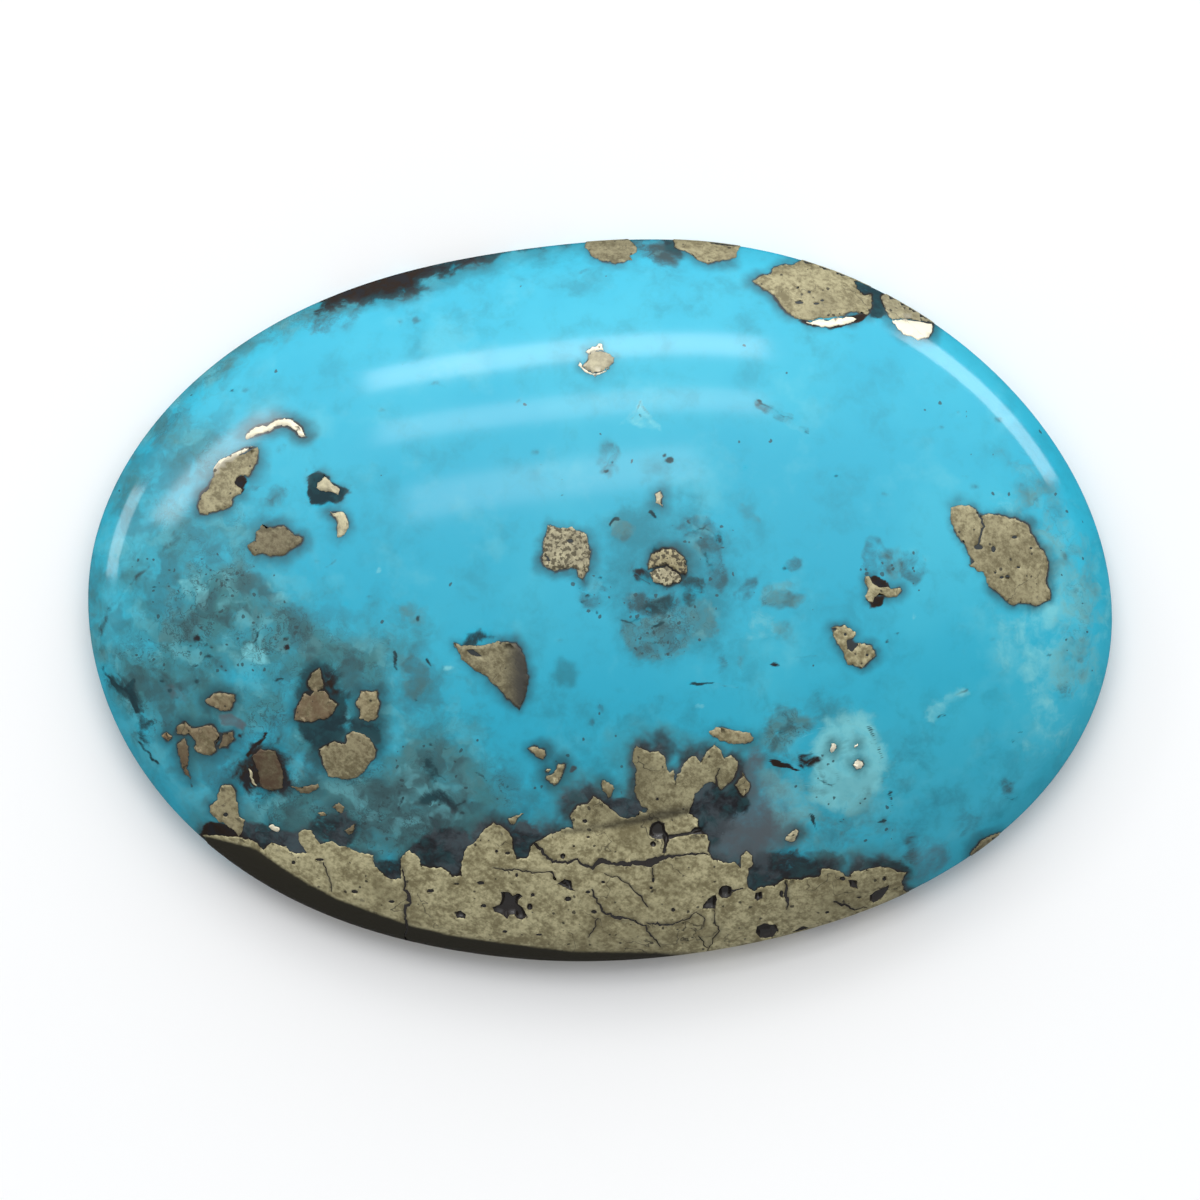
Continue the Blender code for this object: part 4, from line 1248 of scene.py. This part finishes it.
    "eastFaint": ("grey", 0.35, 6, [(772, 622), (790, 620), (792, 638), (776, 646)]),
    "northFaint": ("grey", 0.3, 6, [(738, 504), (752, 506), (756, 518), (746, 522)]),
    "hazeWest": ("slate", 0.55, 4, [
        (860, 548), (866, 538), (878, 540), (894, 552), (894, 572), (876, 577), (860, 566)]),
    "hazeEast": ("slate", 0.5, 4, [
        (898, 560), (904, 552), (918, 550), (927, 556), (925, 574), (914, 585), (902, 578)]),
    "hazeBetween": ("grey", 0.5, 8, [(880, 550), (900, 548), (908, 560), (900, 580), (884, 580)]),
    "clawHole": ("brown", 1.0, 2, [
        (867, 576), (874, 575), (884, 580), (888, 590), (880, 590), (872, 585)]),
    "clawFoot": ("brown", 1.0, 2.5, [(864, 598), (870, 595), (884, 597), (880, 605), (869, 607)]),
    "wedgeNorth": ("matrix", 0.8, 6, [
        (458, 640), (470, 632), (490, 634), (496, 641), (480, 646), (464, 646)]),
    "wedgeEast": ("deep", 0.95, 9, [
        (556, 662), (576, 660), (585, 670), (578, 688), (562, 692), (552, 678)]),
    "mossA": ("slate", 0.4, 3, [(716, 656), (724, 654), (726, 668), (720, 674), (716, 668)]),
    "mossB": ("grey", 0.4, 3, [(736, 656), (742, 655), (742, 672), (738, 670)]),
    "mossC": ("deep", 0.6, 4, [(808, 700), (814, 692), (820, 698), (816, 706)]),
    "triangle": ("pale", 0.5, 2.5, [
        (620, 424), (640, 401), (650, 413), (665, 434), (650, 431), (634, 427)]),
    "triangleEast": ("pale", 0.35, 3, [(738, 474), (746, 464), (760, 470), (764, 480), (744, 480)]),
    "blueSoft": ("deep", 0.55, 12, [(638, 460), (652, 452), (672, 462), (664, 478), (646, 480)]),
    "northGrey": ("slate", 0.42, 5, [
        (600, 444), (612, 438), (621, 452), (618, 474), (604, 480), (598, 462)]),
    "rimShade": ("deep", 1.0, 22, [
        (296, 322), (330, 318), (370, 312), (410, 304), (450, 290), (500, 270), (560, 256), (600, 250),
        (600, 220), (440, 230), (300, 290)]),
    "rimBlack": ("matrix", 1.0, 12, [
        (316, 311), (330, 311), (346, 306), (354, 302), (362, 306), (374, 303), (388, 300), (402, 294),
        (420, 290), (436, 279), (450, 273), (470, 262), (500, 254), (540, 248), (580, 244), (580, 220),
        (440, 230), (320, 280)]),
    "rimDark": ("brown", 0.8, 12, [
        (318, 308), (346, 302), (380, 294), (420, 284), (450, 268), (480, 256), (480, 230), (320, 280)]),
    "rimBrown": ("brown", 0.7, 12, [(312, 312), (330, 310), (352, 300), (360, 280), (330, 285)]),
    "rimTail": ("slate", 0.55, 6, [(340, 330), (352, 312), (366, 304), (360, 320), (350, 332)]),
    "rimPatch": ("slate", 0.55, 7, [(298, 330), (318, 314), (344, 310), (346, 324), (330, 334)]),
    "rimVeil": ("teal", 0.6, 40, [
        (90, 560), (110, 490), (160, 430), (225, 370), (300, 325), (360, 300), (330, 270), (200, 330),
        (100, 430), (60, 560)]),
    "rimNorthWest": ("grey", 0.55, 22, [
        (165, 455), (190, 415), (225, 378), (262, 350), (300, 330), (345, 312), (340, 280), (240, 330),
        (170, 390), (130, 440)]),
    "rimWest": ("grey", 0.5, 20, [
        (98, 560), (112, 510), (140, 460), (120, 440), (80, 520), (80, 660), (104, 650)]),
    "rimTop": ("slate", 0.75, 6, [
        (566, 246), (600, 250), (640, 244), (652, 240), (652, 225), (560, 225)]),
    "topGap": ("slate", 0.85, 6, [
        (638, 240), (640, 252), (650, 260), (664, 266), (680, 266), (688, 256), (674, 246), (668, 238)]),
    "topGapBlack": ("matrix", 0.8, 4, [
        (660, 236), (664, 246), (676, 250), (684, 256), (676, 244), (680, 236)]),
    "cornerShade": ("matrix", 1.0, 3.5, [
        (308, 474), (316, 469), (326, 474), (336, 484), (346, 492), (342, 502), (326, 506), (314, 500),
        (310, 488)]),
    "leafHole": ("brown", 1.0, 2.5, [(235, 478), (246, 475), (251, 482), (244, 493), (237, 492)]),
    "crestGap": ("matrix", 1.0, 3, [
        (848, 262), (852, 284), (862, 296), (871, 298), (869, 314), (876, 319), (884, 314), (884, 298),
        (900, 290)]),
    "crestUnder": ("brown", 1.0, 2.5, [
        (796, 319), (812, 323), (850, 316), (870, 312), (862, 322), (830, 330), (806, 327)]),
    "eastPaleLow": ("pale", 0.55, 5, [
        (922, 706), (930, 697), (946, 690), (960, 684), (966, 688), (950, 704), (936, 718), (925, 716)]),
    "eastRim": ("grey", 0.42, 16, [
        (1000, 450), (1050, 480), (1085, 540), (1100, 600), (1096, 660), (1070, 700), (1050, 690),
        (1062, 610), (1030, 520)]),
    "eastBlotch": ("slate", 0.75, 7, [(1054, 690), (1062, 680), (1068, 688), (1070, 696), (1058, 698)]),
    "eastLight": ("pale", 0.65, 50, [
        (1010, 500), (1060, 520), (1100, 600), (1090, 700), (1040, 740), (1010, 640)]),
    "eastBlob": ("slate", 0.6, 4, [(1004, 782), (1012, 778), (1019, 784), (1016, 794), (1006, 796)]),
    "smearC": ("slate", 0.5, 10, [(956, 812), (968, 806), (976, 822), (966, 838), (954, 834)]),
}
strokes = [                               # ink, strength, (x, y, width) along the stroke
    ("matrix", 0.95, [(104, 668, 4), (112, 680, 4), (118, 687, 7), (128, 689, 5), (134, 681, 4)]),
    ("matrix", 0.95, [(128, 689, 6), (134, 698, 8), (138, 712, 4)]),
    ("matrix", 0.8, [(140, 742, 3), (147, 752, 3), (160, 764, 2)]),
    ("slate", 0.6, [(150, 566, 3), (128, 586, 3), (108, 612, 4), (98, 640, 3)]),
    ("matrix", 0.8, [(262, 609, 1.2), (264, 622, 1.8), (259, 634, 2.4), (256, 641, 1.5)]),
    ("slate", 0.8, [(252, 610, 1), (251, 622, 1.4), (254, 638, 1.2)]),
    ("matrix", 0.8, [(278, 681, 1.5), (285, 677, 2.5)]),
    ("matrix", 0.8, [(428, 659, 3), (433, 665, 2.5)]),
    ("slate", 0.6, [(392, 640, 1.2), (386, 654, 1.2)]),
    ("matrix", 0.8, [(396, 650, 2), (397, 662, 2.6), (398, 670, 1.6)]),
    ("brown", 0.9, [(250, 754, 4), (258, 744, 4), (268, 733, 3)]),
    ("matrix", 0.9, [(651, 513, 3), (655, 517, 3)]),
    ("matrix", 0.75, [(609, 527, 2), (614, 520, 2.4), (620, 520, 1.5)]),
    ("slate", 0.6, [(632, 420, 1.2), (639, 403, 1.8), (650, 414, 1.4)]),
    ("matrix", 0.8, [(688, 682, 2.5), (698, 685, 4), (706, 683, 4), (714, 682, 2.4)]),
    ("slate", 0.5, [(714, 683, 1.4), (736, 688, 1.4)]),
    ("slate", 0.45, [(780, 662, 1.6), (800, 657, 1.6), (820, 653, 1.6)]),
    ("slate", 0.42, [(757, 404, 7), (770, 412, 10), (788, 420, 12), (806, 433, 7)]),
    ("matrix", 0.5, [(757, 400, 2), (764, 405, 1.2), (780, 414, 1.2), (798, 424, 1.2), (808, 436, 1.6)]),
    ("brown", 0.95, [(771, 760, 3), (778, 764, 6), (786, 765, 4), (796, 768, 3)]),
    ("matrix", 0.7, [(865, 727, 1.6), (874, 738, 2), (881, 757, 1.6)]),
    ("matrix", 0.7, [(812, 770, 1.6), (820, 780, 1.8), (832, 787, 1.6)]),
    ("slate", 0.7, [(884, 772, 1.4), (882, 792, 1.4)]),
    ("pale", 1.0, [(806, 782, 1.6), (812, 796, 1.8), (822, 801, 2), (838, 800, 1.6)]),
    ("slate", 0.5, [(818, 766, 1.4), (822, 778, 1.6), (831, 787, 1.8), (838, 779, 1.6), (837, 768, 1.2)]),
    ("slate", 0.45, [(868, 724, 1.2), (878, 742, 1.6), (880, 764, 1.4)]),
    ("slate", 0.4, [(846, 716, 1.2), (852, 732, 1.6), (866, 741, 1.4), (877, 742, 1.2)]),
    ("pale", 0.8, [(796, 742, 1.4), (808, 734, 1.6), (822, 726, 1.4)]),
    ("matrix", 0.9, [(888, 791, 2.4), (890, 798, 2.4), (892, 806, 1.6)]),
    ("matrix", 0.9, [(810, 812, 2), (812, 822, 3), (815, 828, 2)]),
    ("matrix", 0.85, [(877, 819, 2.4), (884, 820, 2.4)]),
    ("matrix", 0.7, [(622, 620, 2), (630, 623, 3), (640, 618, 2)]),
    ("matrix", 0.8, [(654, 626, 3), (662, 622, 3)]),
    ("matrix", 0.6, [(704, 552, 2), (708, 560, 3), (712, 570, 2.4)]),
    ("matrix", 0.6, [(684, 526, 1.4), (694, 532, 1.6), (704, 528, 1.4), (712, 534, 1.4)]),
    ("matrix", 0.5, [(674, 640, 1.2), (684, 634, 1.2), (700, 630, 1.2)]),
    ("slate", 0.4, [(950, 698, 1.2), (966, 688, 1.6)]),
    ("matrix", 0.6, [(1004, 796, 2), (1012, 798, 3), (1018, 797, 1.5)]),
    ("matrix", 0.7, [(432, 760, 2), (438, 772, 3), (448, 780, 2)]),
    ("matrix", 0.7, [(446, 792, 2), (454, 806, 3), (466, 800, 2)]),
    ("matrix", 0.6, [(470, 768, 1.6), (480, 772, 2), (490, 780, 1.4)]),
    ("matrix", 0.6, [(404, 798, 2.4), (400, 806, 2.4)]),
    ("matrix", 0.6, [(432, 816, 1.6), (440, 826, 1.6)]),
    ("slate", 0.5, [(430, 386, 2), (438, 383, 6), (446, 388, 2)]),
    ("slate", 0.45, [(328, 566, 3), (338, 560, 3)]),
]
spots = {                                 # ink to (x, y, width, height)
    "matrix": (
        (151, 722, 10, 7), (142, 735, 7, 9), (143, 745, 6, 6), (210, 657, 8, 6), (196, 665, 6, 6),
        (198, 681, 5, 4), (122, 595, 5, 4), (111, 610, 6, 6), (194, 591, 4, 3), (228, 580, 4, 3),
        (171, 582, 3, 3), (155, 588, 3, 3), (134, 544, 4, 3), (348, 603, 4, 3), (419, 618, 4, 4),
        (233, 390, 6, 5), (784, 569, 6, 7), (778, 733, 9, 5), (745, 467, 4, 3), (669, 461, 7, 5),
        (663, 455, 4, 4), (833, 476, 5, 4), (938, 717, 3, 3), (942, 714, 3, 3), (580, 588, 4, 3),
        (587, 595, 5, 4), (600, 577, 5, 4), (582, 602, 3, 3), (597, 612, 3, 3), (653, 642, 5, 4),
        (612, 463, 3, 3), (606, 470, 4, 3), (802, 756, 5, 6), (840, 854, 5, 4), (1020, 731, 4, 4),
        (1012, 741, 4, 4), (640, 415, 3, 3), (561, 495, 3, 3), (418, 700, 3, 3), (162, 680, 7, 5),
        (170, 690, 6, 5), (178, 698, 5, 4), (190, 652, 6, 5), (116, 556, 3, 3), (1048, 655, 4, 3),
        (896, 634, 3, 3), (840, 820, 4, 3), (886, 640, 3, 2), (436, 838, 4, 4), (462, 812, 4, 3),
        (430, 744, 5, 4), (446, 748, 4, 3), (508, 786, 3, 3), (574, 768, 6, 5)),
    "slate": (
        (245, 392, 6, 4), (283, 449, 12, 16), (278, 495, 22, 24), (400, 322, 7, 8), (416, 320, 9, 6),
        (470, 267, 15, 8), (585, 270, 13, 5), (383, 410, 8, 6), (500, 403, 6, 4), (520, 402, 5, 4),
        (420, 296, 12, 10), (535, 453, 8, 5), (255, 488, 12, 9), (370, 598, 5, 4), (318, 562, 12, 8),
        (560, 640, 8, 6), (830, 636, 6, 5), (884, 494, 9, 4), (962, 478, 8, 5), (974, 486, 9, 6),
        (942, 428, 7, 6), (958, 414, 6, 5), (1000, 420, 9, 5), (1022, 486, 8, 5), (1036, 500, 7, 5),
        (1052, 512, 6, 6), (1066, 556, 6, 8), (1074, 590, 6, 9), (1068, 630, 6, 10), (1080, 660, 7, 6),
        (1090, 530, 6, 5), (600, 708, 8, 6), (592, 722, 6, 8), (870, 640, 6, 3), (990, 640, 8, 4),
        (600, 588, 14, 10)),
    "brown": (
        (199, 638, 8, 8), (207, 645, 8, 7), (193, 644, 4, 4), (212, 648, 5, 4), (288, 638, 6, 6),
        (289, 647, 5, 6), (775, 664, 8, 5), (263, 633, 3, 3), (240, 735, 6, 5)),
    "pale": (
        (203, 641, 4, 3), (610, 734, 3, 3), (913, 616, 7, 9), (380, 570, 6, 6), (450, 668, 8, 5),
        (318, 655, 4, 3), (700, 706, 12, 5), (296, 735, 4, 4)),
}
speckled = [                              # strength of the dark specks, soft edge, outline
    (0.75, 8, [(676, 512), (724, 516), (732, 590), (704, 600), (690, 560), (672, 536)]),
    (0.85, 6, [(620, 592), (650, 586), (706, 586), (716, 616), (700, 650), (660, 662), (628, 646)]),
    (0.7, 8, [(570, 570), (610, 570), (610, 612), (576, 624), (566, 600)]),
    (0.6, 8, [(800, 748), (836, 758), (840, 796), (812, 806), (792, 780)]),
    (0.5, 12, [(848, 786), (896, 790), (900, 840), (860, 850), (840, 820)]),
    (0.4, 16, [(130, 560), (260, 560), (300, 600), (300, 660), (210, 690), (120, 660)]),
    (0.35, 16, [(400, 740), (480, 740), (500, 800), (470, 850), (400, 850), (340, 830)]),
    (0.14, 16, [(940, 400), (1000, 440), (1080, 520), (1100, 640), (1060, 690), (1060, 560), (960, 470)]),
    (0.3, 12, [(590, 690), (620, 700), (612, 740), (580, 740)]),
    (0.4, 12, [(860, 540), (926, 550), (920, 590), (860, 580)]),
    (0.3, 12, [(560, 740), (640, 750), (600, 800), (520, 800)]),
]
wander = {                                # how the painted edges stray from their outlines, in pixels
    "broad": 8.0,
    "broadSize": 34.0,
    "fine": 3.0,
    "fineSize": 9.0,
    "blur": 1.6,
    "fineOnly": 5,                        # crisper edges than this stray only a little
    "darkRim": 16,                        # soft dark patches have a slate rim this wide
    "darkRimInk": 0.8,
    "darkRimFrom": 4,
    "strokeSoft": 2.0,
    "spot": (0.7, 3.0),                   # strength and soft edge of the small spots
    "slateSpot": (0.45, 4.5),
}


def markingDistance(points):              # to the nearest small marking or crisp edge, in pixels
    near = np.full(len(points), 99.0)
    for ink, strength, soft, outline in patches.values():
        if soft <= body["crispEdge"]:
            near = np.minimum(near, np.abs(gapTo(points, outline, 9)))
    for ink, strength, stroke in strokes:
        near = np.minimum(near, strokeGap(points, stroke))
    for outline in [dotOutline(*dot) for group in spots.values() for dot in group] + seamHoles:
        near = np.minimum(near, gapTo(points, outline, 9))
    return near


def drift(points, size, reach, seed):
    return np.array([noise.noise_vector(Vector((x / size, y / size, seed)))[:2] for x, y in points]) * reach


def paintInks(points):
    slight = points + drift(points, wander["fineSize"], wander["fine"], 3.0)
    moved = slight + drift(points, wander["broadSize"], wander["broad"], 7.0)
    inks = {ink: np.zeros(len(points)) for ink in (*inkEdges, "speck")}

    def add(ink, strength, gap, soft):
        share = np.clip(0.5 - gap / soft, 0, 1)
        inks[ink] = np.maximum(inks[ink], strength * share * share * (3 - 2 * share))

    for ink, strength, soft, outline in patches.values():
        soft = soft * wander["blur"]
        around = soft + wander["darkRim"]
        gap = gapTo(moved if soft > wander["fineOnly"] else slight, outline, around)
        add(ink, strength, gap, soft)
        if ink in ("matrix", "brown") and soft > wander["darkRimFrom"]:
            add("slate", wander["darkRimInk"] * strength, gap, around)
    for strength, soft, outline in speckled:
        add("speck", strength, gapTo(moved, outline, soft), soft)
    for ink, strength, stroke in strokes:
        add(ink, strength, strokeGap(slight, stroke), wander["strokeSoft"])
    for ink, group in spots.items():
        strength, soft = wander["slateSpot" if ink == "slate" else "spot"]
        for dot in group:
            add(ink, strength, gapTo(slight, dotOutline(*dot), 5), soft)
    return inks


turquoiseMaterial = makeTurquoise()
pyriteMaterial = makePyrite()
seamOutline = roughOutline(seam["top"] + beyondEdge(seam["underside"]), 1.0)
seamHoles = [roughOutline(hole, 50.0, 0.7) for hole in seam["holes"]]
seamHoles += [dotOutline(*dot) for dot in seam["dots"]]
fleckOutlines = {}
for index, (name, fleck) in enumerate(flecks.items()):
    corners = beyondEdge(fleck.get("over", ())) + fleck["at"]
    fleckOutlines[name] = roughOutline(corners, 2.0 + index, fleck.get("fray", 1.8))
stoneBody = makeBody(turquoiseMaterial)
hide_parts("cabochon")
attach(stoneBody, "root")
print("body:", len(stoneBody.data.polygons), "faces")


def finishPlate(bm, name, cell, buried):
    gridCut(bm, cell)
    chamferTops(bm)
    places = flatPlaces(bm.verts)
    over = layOnStone(bm, buried)
    plate = addPiece(name, bm, pyriteMaterial)
    storeAttribute(plate, "edgeOver", over)
    return plate, places


seamTone = {                              # in pixels, and the share of the ink
    "east": ((720, 800), (0, 0.12)),      # a little dimmer to the right
    "north": ((800, 850), (0.32, 0)),     # and towards the seam's top: painted shade on the ledge above the fold
    "foldShadowSoft": 5,
    "crackReach": 3,
    "crackInk": 0.7,
    "shadeBandSoft": 8,
    "shadeBandEnds": (630, 740),
}


def makeSeam():
    bm = bmesh.new()
    addPrism(bm, seamOutline, 0, 1)
    bm = carve(bm, seamHoles, 0.0)
    bm = carve(bm, [crackOutline(crack) for crack in seam["cracks"]], 0.5)
    plate, places = finishPlate(bm, "pyriteSeam", ragged["seamCell"], ragged["seamBuried"])
    # painted shadow along the fold, soft over these pixels
    fold = strokeGap(places, seam["fold"]) / seamTone["foldShadowSoft"]
    storeAttribute(plate, "foldShadowInk", np.clip(0.5 - fold, 0, 1))
    east = np.interp(places[:, 0], *seamTone["east"])
    north = np.interp(places[:, 1], *seamTone["north"])
    storeAttribute(plate, "dim", np.maximum(east, north))
    crackGap = np.min([strokeGap(places, crack) for crack in seam["cracks"]], axis=0)
    near = np.clip(1 - crackGap / seamTone["crackReach"], 0, 1)
    storeAttribute(plate, "crackNear", near * seamTone["crackInk"])
    # painted shade on the seam's shoulder below the band line, fading out towards the right
    below = gapTo(places, seam["shadeBand"], 2 * seamTone["shadeBandSoft"]) / seamTone["shadeBandSoft"]
    below = np.clip(0.5 - below, 0, 1) * np.interp(places[:, 0], seamTone["shadeBandEnds"], (1, 0))
    storeAttribute(plate, "shadeBandInk", below)
    return plate


def makeFlecks():
    bm = bmesh.new()
    for outline in fleckOutlines.values():
        addPrism(bm, outline, 0, 1)
    bm = carve(bm, fleckWear["holes"] + [dotOutline(*dot) for dot in fleckWear["dots"]], 0.6)
    bm = carve(bm, [crackOutline(crack) for crack in fleckWear["cracks"]], 0.5)
    plate, places = finishPlate(bm, "pyriteFlecks", ragged["cell"], ragged["buried"])
    within = {name: gapTo(places, outline, 2) < 0.8 for name, outline in fleckOutlines.items()}
    for finish in ("rust", "paintedGlint", "mottle", "dim"):
        values = np.zeros(len(places))
        for name, fleck in flecks.items():
            if finish in fleck:
                values[within[name]] = fleck[finish]
        storeAttribute(plate, finish, values)
    # painted shade across the wedge, rising to the right
    tiltShade = np.interp(places[:, 0], flecks["wedge"]["tiltShade"], (0, 1))
    storeAttribute(plate, "tiltShadeInk", np.where(within["wedge"], tiltShade, 0))
    return plate


for piece in (makeSeam(), makeFlecks()):
    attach(piece, "root")
    print(piece.name + ":", len(piece.data.polygons), "faces")

# Camera straight above with a very long lens, as flat product pictures are taken.
view = {"distance": 900.0, "sensor": 36.0, "framePixels": 1200}
frameWidth = view["framePixels"] / pixelsPerMm
camera = bpy.data.objects.new("camera", bpy.data.cameras.new("camera"))
bpy.context.scene.collection.objects.link(camera)
camera.data.sensor_width = view["sensor"]
camera.data.lens = view["sensor"] * (view["distance"] - stone["girdleTop"]) / frameWidth
camera.data.clip_start = 0.05
camera.data.clip_end = 5.0
camera.location = (0, 0, view["distance"] * mm)
bpy.context.scene.camera = camera

# Pale floor and soft light: a wide glow from behind, a dim horizon and long soft strips.
studio = {
    "floorSize": 3.0,
    "floorColour": (0.96, 0.96, 0.96),
    "airColour": (0.97, 0.985, 1.0),
    "airUnder": 0.15,
    "airLow": 0.36,
    "airGlow": 0.84,
    "glowFrom": (0.0, 0.82, 0.57),
    "keyFrom": (0.14, 0.68, 0.72),
    "keyStrength": 0.99,
    "keySpread": 70,
    "stripDistance": 0.8,
}
strips = {                                # degrees up, degrees round, width, depth, radiance
    "bandLow": (36, -4, 0.54, 0.105, 3.4),
    "bandMiddle": (54, -4, 0.52, 0.090, 2.0),
    "bandHigh": (71, -12, 0.34, 0.100, 1.6),
    "rightStrip": (2, 47, 0.42, 0.30, 3.7),
    "leftStrip": (31.5, -55, 0.36, 0.09, 4.0),
    "leftRim": (5, -74, 0.30, 0.28, 3.2),
}


def makeFloor():
    bm = bmesh.new()
    bmesh.ops.create_grid(bm, x_segments=1, y_segments=1, size=studio["floorSize"] / 2)
    material, tree, shader, coords = newMaterial("paleFloor")
    shader.inputs["Base Color"].default_value = (*studio["floorColour"], 1.0)
    shader.inputs["Roughness"].default_value = 0.9
    shader.inputs["Specular IOR Level"].default_value = 0.1
    floor = addPiece("floor", bm, material)
    floor.data.shade_flat()
    floor.visible_glossy = False          # the stone's shoulder mirrors the dim air below instead


def addStrip(name, elevation, azimuth, width, depth, radiance):   # aimed at the stone
    lamp = bpy.data.objects.new(name, bpy.data.lights.new(name, "AREA"))
    lamp.data.shape = "RECTANGLE"
    lamp.data.size, lamp.data.size_y = width, depth
    lamp.data.energy = radiance * math.pi * width * depth
    rise, turn = math.radians(elevation), math.radians(azimuth)
    flat = studio["stripDistance"] * math.cos(rise)
    height = studio["stripDistance"] * math.sin(rise)
    lamp.location = (flat * math.sin(turn), flat * math.cos(turn), height)
    lamp.rotation_euler = (-lamp.location).to_track_quat("-Z", "Y").to_euler()
    bpy.context.scene.collection.objects.link(lamp)


def makeAir():                            # brightness of the air by its direction alone
    world = bpy.data.worlds.new("studioAir")
    bpy.context.scene.world = world
    world.use_nodes = True
    tree = world.node_tree
    direction = addNode(tree, "ShaderNodeTexCoord").outputs["Generated"]
    towards = {0: direction, 1: studio["glowFrom"]}
    facing = addNode(tree, "ShaderNodeVectorMath", towards, operation="DOT_PRODUCT").outputs["Value"]
    glow = times(tree, fade(tree, facing, 0.2, 1.0), studio["airGlow"])
    height = addNode(tree, "ShaderNodeSeparateXYZ", {"Vector": direction}).outputs["Z"]
    above = times(tree, fade(tree, height, -0.25, 0.1), studio["airLow"] - studio["airUnder"])
    background = tree.nodes["Background"]
    background.inputs["Color"].default_value = (*studio["airColour"], 1.0)
    tree.links.new(plus(tree, glow, above, studio["airUnder"]), background.inputs["Strength"])


def addKey():                             # soft daylight from behind, kept out of the mirror image
    key = bpy.data.objects.new("softKey", bpy.data.lights.new("softKey", "SUN"))
    key.data.energy = studio["keyStrength"]
    key.data.angle = math.radians(studio["keySpread"])
    key.rotation_euler = Vector(studio["keyFrom"]).to_track_quat("Z", "Y").to_euler()
    key.visible_glossy = False
    bpy.context.scene.collection.objects.link(key)


makeFloor()
makeAir()
addKey()
for name, settings in strips.items():
    addStrip(name, *settings)
bpy.context.scene.view_settings.view_transform = "Standard"
print("camera, floor and lamps are set")
